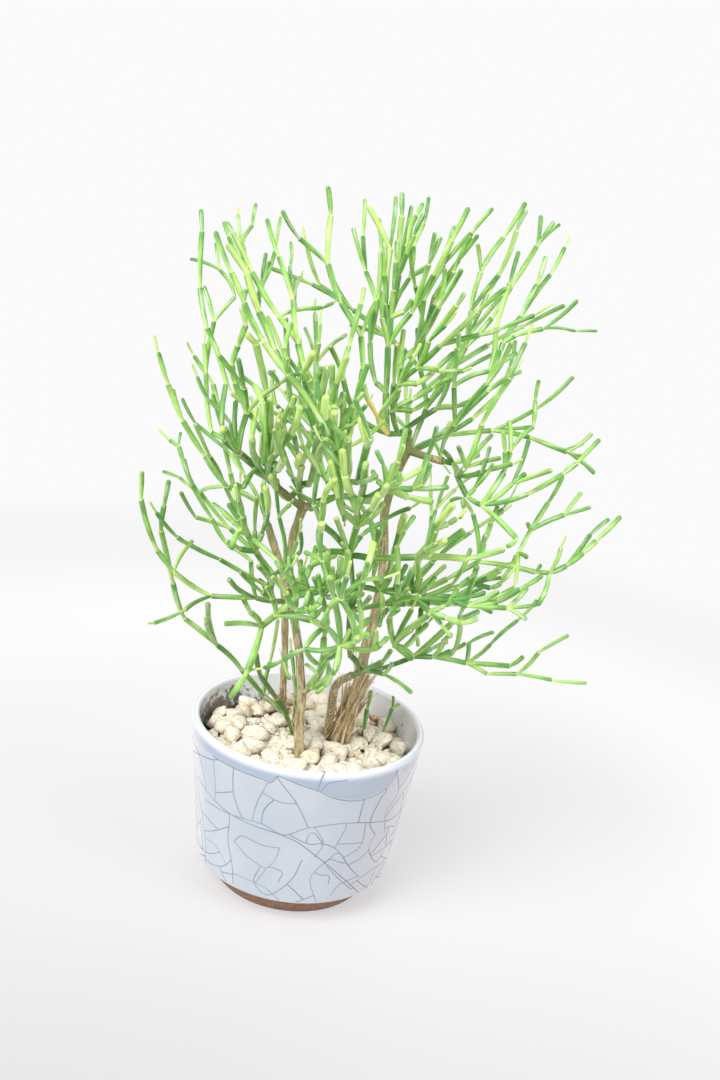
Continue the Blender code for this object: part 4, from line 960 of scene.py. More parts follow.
# Stout young twigs like fingers, in the middle of the picture
FINGERS = [
    "spray_crown_left",
    (1.76, -60, (262, 402), (264, 464)),
    (1.85, -66, (271, 466), (264, 463), (264, 433), (263, 405)),
    (1.85, -70, (271, 466), (271, 433), (270, 398)),
    (1.76, -76, (264, 463), (253, 441)),
    (1.93, -82, (277, 453), (283, 430)),
    (1.85, -92, (271, 466), (278, 470), (283, 461)),
    (1.76, -84, (271, 466), (279, 430), (291, 405)),
    (1.85, -88, (279, 430), (278, 421)),
    (1.68, -70, (252, 439), (255, 418)),
    (1.76, -64, (262, 402), (254, 385)),
    "spray_centre",
    (1.85, -66, (300, 492), (299, 480), (302, 467)),
    (1.85, -70, (309, 484), (317, 464), (327, 439)),
    (1.76, -74, (309, 484), (314, 465), (320, 432)),
    (1.68, -54, (302, 465), (297, 452), (294, 436)),
    "spray_crown",
    (1.85, -86, (340, 489), (347, 480), (348, 457), (347, 439)),
    (1.93, -90, (360, 500), (362, 492), (366, 463)),
    (1.85, -96, (357, 482), (367, 446), (371, 438)),
    (1.95, -98, (360, 500), (378, 498), (387, 485)),
    (1.76, -84, (385, 489), (389, 481), (394, 463)),
    (1.68, -78, (389, 481), (398, 461), (404, 444)),
    (1.76, -80, (399, 482), (423, 468)),
    (1.76, -86, (399, 482), (399, 472)),
    (1.6, -66, (412, 489), (423, 484), (430, 463)),
    (1.6, -60, (412, 489), (428, 455), (436, 433)),
    (1.85, -72, (334, 447), (335, 432), (334, 416)),
    (1.76, -76, (334, 447), (344, 449), (353, 407)),
    (1.76, -74, (316, 392), (316, 394), (320, 372)),
    (1.76, -78, (321, 416), (320, 401), (327, 366)),
    (1.76, -80, (321, 416), (329, 404), (337, 381)),
    (1.68, -72, (331, 411), (331, 390), (332, 364)),
    (1.68, -76, (331, 411), (337, 406), (344, 392)),
    (1.68, -70, (341, 428), (353, 406), (364, 392)),
    (1.68, -62, (316, 392), (309, 380), (300, 371)),
    (1.68, -88, (334, 447), (325, 436), (321, 424)),
    (1.6, -58, (341, 428), (352, 425), (361, 414)),
    "spray_low_right",
    (1.68, -78, (350, 556), (321, 524), (314, 504)),
    (1.76, -76, (350, 556), (328, 552), (319, 545), (321, 524)),
    (1.68, -84, (357, 526), (357, 512), (362, 498)),
    (1.76, -80, (357, 526), (342, 512), (338, 496)),
    "spray_left",
    (1.68, -66, (247, 534), (243, 516), (238, 499)),
    (1.6, -60, (256, 552), (262, 533), (268, 512)),
    (1.68, -62, (256, 552), (240, 549), (226, 541)),
]


def add_traced(plant, room, rows):
    for row in rows:
        if isinstance(row, str):
            node = row
        else:
            traced(plant, room, node, *row)


def beside(plant, room, girth, nearer, *spots):
    """A twig from the photographed joint nearest its first spot, ending some mm nearer than it."""
    own = [i for i, name in enumerate(plant.node) if i not in plant.roots and "back" not in name]
    first = min(own, key=lambda i: math.dist(plant.spots[i], spots[0]))
    depth = plant.points[first].y / MM - nearer
    traced(plant, room, plant.node[first], girth, depth, plant.spots[first], *spots[1:])


# Twigs that cross at the crown's lower right and upper left, and in its middle bundle: a girth, how
# many mm nearer than its first joint each ends, and its picture points
SIDE_TWIGS = [
    (2.0, 6, (311, 566), (322, 560), (337, 554)),
    (1.8, 4, (296, 596), (309, 594), (322, 590), (334, 587)),
    (1.6, -4, (310, 620), (319, 611), (331, 606)),
    (1.8, 4, (341, 598), (338, 580)),
    (1.7, 8, (341, 598), (347, 577)),
    (1.4, 3, (340, 645), (350, 629)),
    (1.7, 6, (356, 588), (366, 573)),
    (1.6, -4, (351, 606), (362, 587)),
    (1.7, 4, (386, 604), (397, 597), (408, 588)),
    (1.8, 8, (397, 597), (413, 568)),
    (1.7, -4, (405, 628), (421, 607)),
    (1.7, 10, (396, 641), (412, 629), (429, 615)),
    (1.9, 8, (386, 642), (389, 618)),
    (1.8, 6, (396, 641), (413, 660)),
    (1.7, -5, (385, 604), (405, 604), (430, 603), (450, 605)),
    (1.7, 6, (415, 599), (429, 611), (446, 618), (462, 623), (478, 618)),
    (1.4, 4, (429, 611), (444, 606), (455, 600)),
    (1.3, -3, (429, 611), (441, 624), (452, 638)),
    (1.5, -2, (413, 657), (431, 649), (448, 641)),
    (1.4, -4, (432, 657), (450, 651), (466, 643)),
    (1.8, 4, (372, 650), (381, 644), (388, 637)),
    (2.1, -4, (355, 642), (361, 634), (371, 637)),
    (1.6, -24, (339, 647), (329, 658), (319, 671), (308, 687)),
    (1.6, -12, (339, 647), (333, 674), (325, 686), (316, 693)),
    (1.7, -40, (352, 675), (352, 657), (350, 642)),
    (1.8, -30, (339, 647), (325, 655), (324, 638), (328, 620)),
    (1.7, -44, (313, 687), (326, 684), (329, 668), (322, 652)),
    (1.6, -20, (296, 596), (293, 612), (297, 632)),
    (1.7, -8, (309, 590), (306, 606), (316, 618)),
    (1.6, -14, (341, 598), (330, 607), (321, 625)),
    (1.5, -16, (350, 613), (361, 622), (370, 618)),
    (1.6, 4, (324, 597), (318, 605), (306, 612), (296, 610)),
    (1.5, -4, (309, 590), (300, 596), (289, 603), (282, 612)),
    (1.6, 4, (362, 581), (368, 562)),
    (1.5, 2, (380, 591), (373, 577), (377, 560)),
    (1.7, 5, (380, 591), (394, 590), (400, 577), (407, 564)),
    (1.4, -3, (415, 599), (402, 592), (407, 582), (413, 569)),
    (1.5, 3, (413, 592), (421, 577), (433, 562)),
    (1.1, 0, (462, 498), (450, 501), (441, 517), (431, 534)),
    (1.3, 3, (467, 496), (475, 488), (482, 472), (487, 458), (490, 446)),
    (1.5, 6, (477, 562), (484, 543), (491, 523), (498, 505)),
    (1.2, 2, (491, 523), (503, 509), (511, 497)),
    (1.6, 4, (518, 553), (528, 558)),
    (1.5, 0, (467, 606), (498, 602), (520, 589), (543, 575)),
    (1.5, -6, (449, 600), (470, 597), (486, 592)),
    (1.4, 4, (473, 585), (490, 588), (501, 583), (509, 575)),
    (1.6, 8, (473, 585), (488, 578), (501, 570)),
    (1.3, 0, (449, 600), (458, 588), (470, 578), (477, 571)),
    (1.2, 2, (535, 572), (541, 564)),
    (1.5, 4, (549, 573), (561, 547)),
    (1.4, 3, (530, 531), (527, 523)),
    (1.1, 3, (462, 498), (464, 508), (459, 519)),
    (1.5, -6, (350, 556), (361, 536), (382, 523)),
    (1.7, 3, (358, 526), (371, 519), (384, 502)),
    (1.6, -2, (380, 591), (392, 557), (404, 531), (415, 515)),
    (2.0, 6, (416, 557), (430, 553), (446, 539)),
    (1.6, 10, (416, 557), (426, 549), (437, 543)),
    (1.7, 4, (435, 529), (448, 524), (457, 518)),
    (1.5, -8, (385, 489), (378, 481), (372, 470)),
    (1.4, -10, (385, 489), (384, 466), (376, 450)),
    (1.7, 4, (309, 590), (295, 584), (283, 572), (276, 560)),
    (1.6, 2, (296, 596), (291, 575), (289, 556)),
    (1.7, 0, (296, 596), (297, 578)),
    (1.6, 3, (275, 601), (268, 588), (258, 579)),
    (1.5, -4, (283, 568), (292, 556), (297, 541)),
    (1.6, 0, (300, 492), (293, 478), (287, 469)),
    (1.8, -4, (300, 492), (289, 500), (279, 490), (276, 478)),
    (1.4, -10, (336, 496), (327, 482), (330, 466)),
    (1.8, -8, (336, 496), (322, 503), (309, 510)),
    (1.4, -5, (321, 560), (312, 555), (304, 552)),
    (1.6, 4, (247, 534), (238, 519), (228, 503)),
    (1.5, 2, (247, 534), (233, 522), (222, 511)),
    (1.6, 4, (288, 375), (287, 357)),
    (1.6, 3, (279, 384), (268, 371)),
    (1.4, -6, (288, 375), (285, 348), (292, 322)),
    (1.2, 2, (262, 286), (270, 261)),
    (1.4, 2, (244, 303), (247, 289)),
    (1.3, 2, (316, 364), (319, 343), (320, 323)),
    (1.4, 3, (386, 305), (384, 275), (385, 245)),
    (1.5, 4, (391, 318), (394, 290), (396, 262), (397, 240)),
    (1.5, 2, (388, 347), (382, 318), (383, 290)),
    (1.5, -4, (399, 275), (407, 253), (414, 235), (424, 213)),
    (1.4, 0, (409, 279), (431, 265)),
    (1.6, 3, (391, 318), (404, 312), (412, 299)),
    (1.6, -6, (391, 410), (412, 411), (430, 399)),
    (1.5, -2, (391, 410), (412, 400), (432, 388), (452, 378)),
    (1.6, 0, (399, 385), (417, 384), (434, 371), (455, 352)),
    (1.8, 5, (399, 385), (413, 360)),
    (1.3, 2, (399, 385), (402, 368), (405, 348)),
    (1.6, 2, (436, 409), (455, 407), (472, 401)),
    (1.8, 8, (388, 434), (381, 412)),
    (1.7, 7, (391, 410), (399, 393)),
    (1.6, -3, (489, 371), (503, 362), (517, 352)),
    (1.4, 2, (504, 472), (505, 452), (503, 431)),
    (1.6, 3, (512, 484), (526, 473)),
]


# Finer twigs

FINE_ROUNDS = 3
BEHIND = 10 * MM
# Chance of one twig at a joint, what crowding adds to it, what crowding gives a second one, and the
# least chance at a tip, for the near half of the crown and for the half behind it
FINE_SHARE = {False: (0.06, 0.5, 0.3, 0.1), True: (0.26, 0.4, 0.3, 0.3)}
FINE_TRIES = 9
FINE_GAP = 0.25 * MM
SAME_PLACE = 0.1 * MM
FINE_LENGTH = (13 * MM, 22 * MM)
FINE_GIRTH = (1.1, 1.5)
FINE_STRAIGHT_ON = 0.55
FINE_FLOW = 0.6
FINE_STRAY = 0.24
CROWDED_STRAY = 0.2
LEAST_ONWARD = 0.5
# Fat twigs stand near the viewer, in the crowded middle
FAT_DEPTH = -32 * MM
FAT_CROWDING = 0.2
FAT_CHANCE = 0.6
FAT_GIRTH = (1.6, 1.9)
FAT_LENGTH = 0.8
FAT_LEAN = Vector((0, -0.15, 0.5))
LEAST_RISE = 5
MOST_CHILDREN = 3
LEAST_SIBLING_ANGLE = math.radians(17)
LOWEST_FINE = 108 * MM
FAR_LIMIT = 97 * MM
NEAR_LIMIT = -106 * MM
# Stretches of stem and of yellow twig that show, as picture points, and half the breadth of what
# finer twigs leave free along them
BARK_IN_SIGHT = [
    [(267, 523), (280, 568)], [(288, 562), (292, 535), (299, 511)],
    [(384, 514), (383, 549), (381, 579)], [(377, 595), (370, 625), (364, 663)],
    [(284, 609), (285, 676)], [(294, 622), (301, 690)],
]
BARK_HALF_WIDTH = 6.5
BARK_SHARES = (0.35, 0.7, 1.0)
YELLOW_IN_SIGHT = [(367, 398), (373, 408), (387, 430)]
YELLOW_HALF_WIDTH = 3.6
# Picture points where the background shows through the crown, and how far round them it does
OPEN_SPOTS = [
    (283, 289), (317, 289), (487, 289), (555, 289), (351, 323), (487, 323), (521, 323), (317, 357),
    (351, 357), (521, 357), (215, 391), (249, 391), (555, 391), (181, 425), (215, 425), (487, 425),
    (521, 425), (215, 459), (555, 459), (589, 459), (215, 493), (317, 527), (521, 255), (419, 255),
]
OPEN_REACH = 17
OPEN_SHARES = (0.6, 1.0)
CROWN_OUTLINE = [
    (192, 256), (197, 208), (256, 200), (284, 204), (328, 184), (368, 194), (404, 188), (470, 205),
    (526, 199), (562, 220), (568, 246), (582, 300), (600, 332), (548, 352), (548, 385), (602, 440),
    (580, 490), (623, 515), (598, 558), (562, 590), (572, 634), (590, 686), (500, 672), (412, 696),
    (350, 690), (300, 700), (230, 700), (210, 655), (150, 625), (172, 572), (138, 500), (140, 468),
    (172, 470), (166, 400), (157, 350), (188, 384), (204, 330),
]


class Room:
    """The space that twigs and stems take up, to which finer twigs are added."""

    def __init__(self, plant, stems):
        self.starts, self.ends, necks, tips = obstacle_arrays(plant, stems)[:4]
        self.radii = np.maximum(necks, tips)

    def clear(self, start, finish, radius):
        distance = gaps_to(start, finish, self.starts, self.ends)[0]
        close = distance < self.radii + radius + FINE_GAP
        for ends in (self.starts, self.ends):
            close &= np.linalg.norm(ends - np.array(start), axis=1) > SAME_PLACE
        return not close.any()

    def add(self, start, finish, radius):
        self.starts = np.vstack([self.starts, np.array(start)])
        self.ends = np.vstack([self.ends, np.array(finish)])
        self.radii = np.append(self.radii, radius)


def inside_outline(spot):
    """Whether a picture point lies within the crown's outline."""
    x, y = spot
    inside = False
    corners = CROWN_OUTLINE
    for (ax, ay), (bx, by) in zip(corners, corners[1:] + corners[:1]):
        if (ay > y) != (by > y) and x < ax + (bx - ax) * (y - ay) / (by - ay):
            inside = not inside
    return inside


def hides_bark(start, finish):
    """Whether a twig would cross the stretches of stem that the photograph shows."""
    for share in BARK_SHARES:
        x, y = seen_at(start.lerp(finish, share))
        for line in BARK_IN_SIGHT:
            for (ax, ay), (bx, by) in zip(line, line[1:]):
                if ay > by:
                    ax, ay, bx, by = bx, by, ax, ay
                aside = x - ax - (bx - ax) * (y - ay) / (by - ay)
                if ay <= y <= by and abs(aside) < BARK_HALF_WIDTH:
                    return True
        for (ax, ay), (bx, by) in zip(YELLOW_IN_SIGHT, YELLOW_IN_SIGHT[1:]):
            length = math.hypot(bx - ax, by - ay)
            along = ((x - ax) * (bx - ax) + (y - ay) * (by - ay)) / length
            across = ((x - ax) * (by - ay) - (y - ay) * (bx - ax)) / length
            if 0 <= along <= length and abs(across) < YELLOW_HALF_WIDTH:
                return True
    return False


def closes_gap(start, finish):
    """Whether a twig would fill a place where the background shows through the crown."""
    seen = [seen_at(start.lerp(finish, share)) for share in OPEN_SHARES]
    return any(math.dist(spot, place) < OPEN_REACH for spot in OPEN_SPOTS for place in seen)


def add_fine_twigs(plant, room):
    """More twigs by rule, forked from the joints so far, so that the crown is full."""
    draw = random.Random(SEED)
    way = headings(plant)
    girths = {s[1]: s[3] for s in plant.segments}
    children = {joint: [] for joint in way}
    for start, end, neck, tip, node in plant.segments:
        if start in children:
            children[start].append(way[end])
    fresh = [joint for joint in way if not plant.node[joint].startswith("seed")]
    for turn in range(FINE_ROUNDS):
        born = []
        for joint in fresh:
            point = plant.points[joint]
            crowd = crowding(point)
            behind = point.y > BEHIND
            share = FINE_SHARE[behind]
            wanted = draw.random() < share[0] + share[1] * crowd
            wanted += draw.random() < share[2] * crowd
            if turn == 0 and not children[joint]:
                wanted = min(wanted, 1) * (draw.random() < share[3] + crowd)
            for child in range(wanted):
                if len(children[joint]) >= MOST_CHILDREN:
                    break
                found = fork_off(plant, room, joint, way[joint], children[joint], draw, girths[joint])
                if found is None:
                    continue
                way[found] = (plant.points[found] - point).normalized()
                children[joint].append(way[found])
                children[found] = []
                girths[found] = plant.segments[-1][3]
                born.append(found)
        fresh = born


def fork_off(plant, room, joint, heading, siblings, draw, girth):
    """A new segment from a joint, clear of its neighbours and within the crown, or None."""
    point = plant.points[joint]
    crowd = crowding(point)
    fat = point.y < FAT_DEPTH and crowd > FAT_CROWDING and draw.random() < FAT_CHANCE
    for attempt in range(FINE_TRIES):
        stray = Vector([draw.gauss(0, FINE_STRAY + CROWDED_STRAY * crowd) for axis in range(3)])
        if fat:
            stray += FAT_LEAN
        way = (heading * FINE_STRAIGHT_ON + flow(point) * FINE_FLOW + stray).normalized()
        if way.dot(heading) < LEAST_ONWARD:
            continue
        if any(way.angle(other) < LEAST_SIBLING_ANGLE for other in siblings):
            continue
        length = draw.uniform(*FINE_LENGTH) * (FAT_LENGTH if fat else 1.0)
        size = draw.uniform(*FAT_GIRTH) if fat else min(girth, draw.uniform(*FINE_GIRTH))
        finish = point + way * length
        if seen_at(point)[1] - seen_at(finish)[1] < LEAST_RISE:
            continue
        if finish.z < LOWEST_FINE or not NEAR_LIMIT < finish.y < FAR_LIMIT:
            continue
        if not inside_outline(seen_at(finish)):
            continue
        if hides_bark(point, finish) or closes_gap(point, finish):
            continue
        if room.clear(point, finish, size * MM):
            room.add(point, finish, size * MM)
            return plant.sprout(joint, finish, size)
    return None


# Segments shaped like small clubs

CLUB_SIDES = 10
CLUB_RINGS = (-0.04, 0.03, 0.1, 0.2, 0.32, 0.46, 0.64)
# A club is at its full width at a share of its length, nearer its base on a young twig
FULL_AT = 0.62
YOUNG_FULLER = 0.24
# The last club of a twig ends in a dome, and the others in a shoulder
DOME_STEPS = 5
DOME_ANGLE = math.radians(84)
DOME_HEIGHT = 1.05
SHOULDER_HEIGHT = 0.36
SHOULDER_EDGE = 0.62
SHOULDER_BULGE = 1.15
LONGEST_END = 0.3
AT_TIP = 0.99
ROUND_GIRTH = 0.87
OLD_NECK = 0.88
YOUNG_NECK = 0.64
NECK_NARROWS = 1.3
CARRY_ON = 0.065
BOW = 0.014
WOBBLE = 0.03
WOBBLE_WAVES = 9
STREAK_STRETCH = 0.14
STREAK_AXES = (np.array((1.0, 0, 0)), np.array((0, 1.0, 0)))
# Twigs look younger the stouter, the farther out and the higher they are
YOUNG_FROM = 0.62
YOUNG_OVER = 0.26
YOUNG_HEIGHT = 166 * MM
YOUNG_RISE = 50 * MM
LEAST_YOUTH = 0.15
SLIM_GIRTH = 1.25
STOUTER_BY = 0.6
YOUTH_STRAY = 0.15
YELLOW_SPOTS = [(367, 398), (378, 418)]
GREENEST_TONE = 0.98
# Short new segments on the ends of slim twigs
YOUNG_SPIKES = 0.22
SPIKE_CEILING = 340 * MM
SPIKE_FROM_GIRTH = 1.6
SPIKE_LENGTH = (5, 10)
SPIKE_GIRTH = (0.5, 0.62)
SPIKE_YOUTH = 0.95
SPIKE_LIFT = Vector((0, 0, 0.25))


def ages(plant):
    """For each segment's end, how far out it is: 0 by the stem and 1 at a tip."""
    steps = {}
    for start, end, neck, tip, node in plant.segments:
        steps[end] = steps.get(start, 0) + 1
    ahead = {}
    for start, end, neck, tip, node in reversed(plant.segments):
        ahead.setdefault(end, 0)
        ahead[start] = max(ahead.get(start, 0), ahead[end] + 1)
    return {end: steps[end] / (steps[end] + ahead[end]) for end in steps}


def club_profile(length, radius, base, age, last):
    """Shares of the length with widths: a narrow base, a long body and a dome or a shoulder."""
    full_at = FULL_AT - YOUNG_FULLER * age
    profile = []
    for share in CLUB_RINGS:
        swell = math.sin(min(1.0, max(0.0, share) / full_at) * math.pi / 2)
        profile.append((share, base + (1 - base) * swell))
    height = min(LONGEST_END, (DOME_HEIGHT if last else SHOULDER_HEIGHT) * radius / length)
    for step in range(DOME_STEPS + 1):
        angle = DOME_ANGLE * step / DOME_STEPS
        width = math.cos(angle)
        if not last:
            width = SHOULDER_EDGE + (1 - SHOULDER_EDGE) * width
        rise = height * math.sin(angle) * (1.0 if last else SHOULDER_BULGE)
        profile.append((1 - height + rise, width))
    return profile


def club(skin, start, end, onward, girth, mark, draw):
    """One segment: narrow at its base, swelling to a blunt tip, and bowed on from its parent."""
    along_it = end - start
    length = along_it.length
    way = along_it.normalized()
    tone, age, outer = mark
    girth = girth * ROUND_GIRTH
    side, other = across(way)
    bend = (onward - way * onward.dot(way)) * length * CARRY_ON
    bow = np.array(bend) + (side * draw.gauss(0, 1) + other * draw.gauss(0, 1)) * length * BOW
    turn = draw.uniform(0, 2 * math.pi)
    wobble = draw.uniform(0, 6)
    base = OLD_NECK + (YOUNG_NECK - OLD_NECK) * min(1.0, outer * NECK_NARROWS)
    rings = []
    marks = []
    offset = draw.uniform(0, 1)
    for share, width in club_profile(length, girth * MM, base, age, outer > AT_TIP):
        centre = np.array(start) + np.array(way) * length * share + bow * 4 * share * (1 - share)
        radius = girth * MM * width * (1 + WOBBLE * math.sin(share * WOBBLE_WAVES + wobble))
        rings.append(circle(centre, side, other, radius, CLUB_SIDES, turn))
        marks.append((limited(share), tone, age, outer))
        height = offset + share * length * STREAK_STRETCH
        skin.grain.append(circle((0, 0, height), *STREAK_AXES, girth * MM, CLUB_SIDES, turn))
    skin.rings(rings, marks)


def young_spike(skin, start, way, girth, tone, draw):
    """A short slim new segment on the end of a twig."""
    end = start + (way + SPIKE_LIFT).normalized() * draw.uniform(*SPIKE_LENGTH) * MM
    size = girth * draw.uniform(*SPIKE_GIRTH)
    club(skin, start, end, way, size, (tone, SPIKE_YOUTH, 1.0), draw)


def make_sprays(plant, material):
    outer = ages(plant)
    yellow = [plant.nearest("spray_top", spot) for spot in YELLOW_SPOTS]
    parent = {s[1]: s for s in plant.segments}
    for node in sorted(set(plant.node)):
        draw = random.Random(node + " looks")
        skin = Skin()
        for start, end, neck, tip, own in plant.segments:
            if own != node:
                continue
            a, b = plant.points[start], plant.points[end]
            way = (b - a).normalized()
            before = parent.get(start)
            onward = (a - plant.points[before[0]]).normalized() if before else way
            tone = 1.0 if end in yellow else draw.random() * GREENEST_TONE
            stray = draw.uniform(-YOUTH_STRAY, YOUTH_STRAY)
            age = limited((tip - SLIM_GIRTH) / STOUTER_BY + stray)
            age *= limited((outer[end] - YOUNG_FROM) / YOUNG_OVER)
            age *= limited((b.z - YOUNG_HEIGHT) / YOUNG_RISE, LEAST_YOUTH)
            club(skin, a, b, onward, tip, (tone, age, outer[end]), draw)
            slim = outer[end] > AT_TIP and tip < SPIKE_FROM_GIRTH and not own.startswith("seed")
            if slim and b.z < SPIKE_CEILING and draw.random() < YOUNG_SPIKES:
                young_spike(skin, b, way, tip, tone, draw)
        piece = skin.made(node + "_twigs", material, sharp=80)
        fit_in(piece, "green", node)


# Stems with bark

BARK_SIDES = 18
BARK_STEP = 1.3 * MM
CORNER_EASINGS = 3
# The stem swells in rings, and is uneven at two scales: waves round it and along it, with a height
SWELLING = 24 * MM
SWELLING_HEIGHT = 0.09
SWELLING_BREADTH = 0.012
BARK_ROUGH = (2.4, 160, 0.07)
BARK_RIDGES = (6.0, 60, 0.08)
THICKEST_MARK = 5.0
HIGHEST_MARK = 200 * MM


def resampled(points, radii, step):
    """Points a step apart along a route, with their radii, eased round its corners."""
    lengths = [(b - a).length for a, b in zip(points, points[1:])]
    total = sum(lengths)
    count = max(3, round(total / step))
    places, sizes = [], []
    for i in range(count + 1):
        left = total * i / count
        for k, length in enumerate(lengths):
            if left <= length or k == len(lengths) - 1:
                share = min(1.0, left / length)
                places.append(np.array(points[k].lerp(points[k + 1], share)))
                sizes.append(radii[k] + (radii[k + 1] - radii[k]) * share)
                break
            left -= length
    for easing in range(CORNER_EASINGS):
        inner = [(a + b * 2 + c) / 4 for a, b, c in zip(places, places[1:], places[2:])]
        places = [places[0]] + inner + [places[-1]]
    return [Vector(place) for place in places], sizes, total / count


def uneven(angles, along_it, offset, unevenness):
    """How far noise lifts a stem's face, at angles round it and at a place along it."""
    waves, waves_along, height = unevenness
    top = along_it * waves_along + offset
    spots = [Vector((math.cos(a) * waves, math.sin(a) * waves, top)) for a in angles]
    return height * np.array([noise.noise(spot) for spot in spots])


def make_bark(stem, draw):
    skin = Skin()
    angles = np.arange(BARK_SIDES) * 2 * math.pi / BARK_SIDES
    for points, radii in stem.runs:
        places, sizes, step = resampled(points, radii, BARK_STEP)
        offset = draw.uniform(0, 6)
        side = across((places[1] - places[0]).normalized())[0]
        rings = []
        marks = []
        for i, (place, size) in enumerate(zip(places, sizes)):
            ahead = places[min(i + 1, len(places) - 1)] - places[max(i - 1, 0)]
            way = np.array(ahead.normalized())
            side = side - way * side.dot(way)
            side = side / np.linalg.norm(side)
            along_it = i * step
            off_middle = (along_it / SWELLING + offset) % 1.0 - 0.5
            swell = SWELLING_HEIGHT * math.exp(-off_middle ** 2 / SWELLING_BREADTH)
            rough = uneven(angles, along_it, offset, BARK_ROUGH)
            ridges = uneven(angles, along_it, offset, BARK_RIDGES)
            radius = size * MM * (1 + swell + rough + ridges)
            rings.append(circle(place, side, np.cross(way, side), radius, BARK_SIDES))
            height = (place.z - GROUND) / HIGHEST_MARK
            marks.append((min(1.0, size / THICKEST_MARK), height, offset / 6, 0.0))
        skin.rings(rings, marks)
    return skin


# Flakes of bark on a stem's foot: how many, with their lengths and widths
FLAKES = {
    "stem_stout": (190, (7 * MM, 24 * MM), (0.3 * MM, 1.5 * MM)),
    "stem_left": (22, (5 * MM, 12 * MM), (0.3 * MM, 0.9 * MM)),
    "stem_slim": (16, (4 * MM, 9 * MM), (0.4 * MM, 1.0 * MM)),
    "stem_bare": (14, (4 * MM, 10 * MM), (0.5 * MM, 1.1 * MM)),
}
FLAKE_STEPS = 5
FLAKE_THICKNESS = 0.14 * MM
FLAKE_CURL = (0.1, 0.75)
FLAKE_LIFT = 0.55
CURLED_SHARE = 0.7
FLAT_CURL = 0.3
UPWARD_SHARE = 0.65
FLAKE_TAPER = 0.75
FLAKE_TWIST = 0.3


def add_flakes(skin, stem, count, lengths, widths, draw):
    """Slivers of papery bark that lie along the stem's foot and curl off at one end."""
    points, radii = stem.runs[0]
    places, sizes = resampled(points[1:5], radii[1:5], BARK_STEP)[:2]
    for flake in range(count):
        spot = int(draw.triangular(1, len(places) * 0.8, len(places) * 0.25))
        spot = min(max(spot, 1), len(places) - 2)
        angle = draw.uniform(0, 2 * math.pi)
        way = (places[spot + 1] - places[spot - 1]).normalized()
        side, other = across(way)
        out = Vector(side * math.cos(angle) + other * math.sin(angle))
        edge = way.cross(out)
        length = draw.uniform(*lengths)
        width = draw.uniform(*widths)
        curl = draw.uniform(*FLAKE_CURL) * (1 if draw.random() < CURLED_SHARE else FLAT_CURL)
        direction = 1 if draw.random() < UPWARD_SHARE else -1
        root = places[spot] + out * (sizes[spot] * MM)
        tint = draw.random()
        thick = out * FLAKE_THICKNESS
        rings = []
        for k in range(FLAKE_STEPS + 1):
            share = k / FLAKE_STEPS
            lift = curl * length * share * share * FLAKE_LIFT
            centre = root + way * (direction * length * share) + out * lift
            centre = centre + edge * (math.sin(share * 3 + tint * 6) * FLAKE_TWIST * MM)
            half = edge * (width * (1 - FLAKE_TAPER * share ** 2) / 2)
            rings.append(np.array([centre - half, centre + thick, centre + half, centre - thick]))
        if direction < 0:
            rings = [ring[::-1] for ring in rings]
        skin.rings(rings, [(0.5, 0.0, tint, 1.0)] * len(rings))


def make_stems(stems, material):
    for name, stem in stems.items():
        draw = random.Random(name)
        skin = make_bark(stem, draw)
        add_flakes(skin, stem, *FLAKES[name], draw)
        piece = skin.made(name + "_bark", material)
        fit_in(piece, "bark", name)


# Pumice stones

STONE_RADIUS = (4.0 * MM, 7.6 * MM)
STONE_USUAL = 5.6 * MM
STONE_TRIES = 3600
CRUMB_RADIUS = (1.4 * MM, 2.6 * MM)
CRUMB_TRIES = 900
SMALLEST_STONE = 3 * MM
# How stones lie: seats and nests are shares of their radii, and nudges are in mm
STONE_TOP = 82.6 * MM
STONE_BED = SOIL_TOP + 0.5 * MM
CRUMB_TOP = GROUND - 1 * MM
STONE_SEAT = 0.8
STONE_NEST = 0.86
CRUMB_NEST = 0.66
STONE_OFF_WALL = 1.02
STONE_NUDGES = 6
STONE_NUDGE = 2.5
TOP_STONE_DEPTH = 5.5 * MM
# How stones are shaped: a ball cut by facets, with a length, breadth and thickness
STONE_FACETS = 9
STONE_EDGE = 26
STONE_CUTS = (0.66, 0.98)
STONE_CORNER = 1.22
STONE_LENGTH = 1.08
STONE_BREADTH = (0.74, 0.98)
STONE_THICKNESS = (0.64, 0.86)
STONE_LEAN = 0.45
STONE_FULLNESS = 1.04
STONE_LUMPS = 0.09
LUMP_WAVES = 2.1
STONE_DENTS = 0.055
DENT_WAVES = 5.5
# Patches of tan crumbs
TAN_SPOTS = [
    (398, 737), (404, 742), (391, 730), (318, 694), (290, 704), (296, 697), (272, 687), (372, 716),
    (352, 712),
]
TAN_REACH = 6 * MM
TAN_TOP = GROUND + 1.2 * MM
TAN_CHANCE = 0.06


def stem_feet(plant, stems):
    """Where stems pass through the stones, as x, y and radius."""
    feet = []
    for stem in stems.values():
        points, radii = stem.runs[0]
        first, second = points[1], points[2]
        feet.append((first.x, first.y, max(radii[:3]) * MM))
        x, y = second.x * 0.25 + first.x * 0.75, second.y * 0.25 + first.y * 0.75
        feet.append((x, y, radii[1] * MM))
    for start, end, neck, tip, node in plant.segments:
        if plant.points[start].z < SOIL_TOP:
            feet.append((plant.points[end].x, plant.points[end].y, tip * MM))
    return feet


def in_tan_patch(place, tan_spots):
    return any(math.hypot(place[0] - s.x, place[1] - s.y) < TAN_REACH for s in tan_spots)


def resting_height(x, y, radius, nest, places, sizes):
    """How high a stone's middle is when it has dropped at x, y onto the bed or other stones."""
    z = STONE_BED + radius * STONE_SEAT
    if len(sizes):
        flat = np.hypot(places[:, 0] - x, places[:, 1] - y)
        apart = (sizes + radius) * nest
        under = flat < apart
        if under.any():
            rise = np.sqrt(apart[under] ** 2 - flat[under] ** 2)
            z = max(z, float((places[under, 2] + rise).max()))
    return z


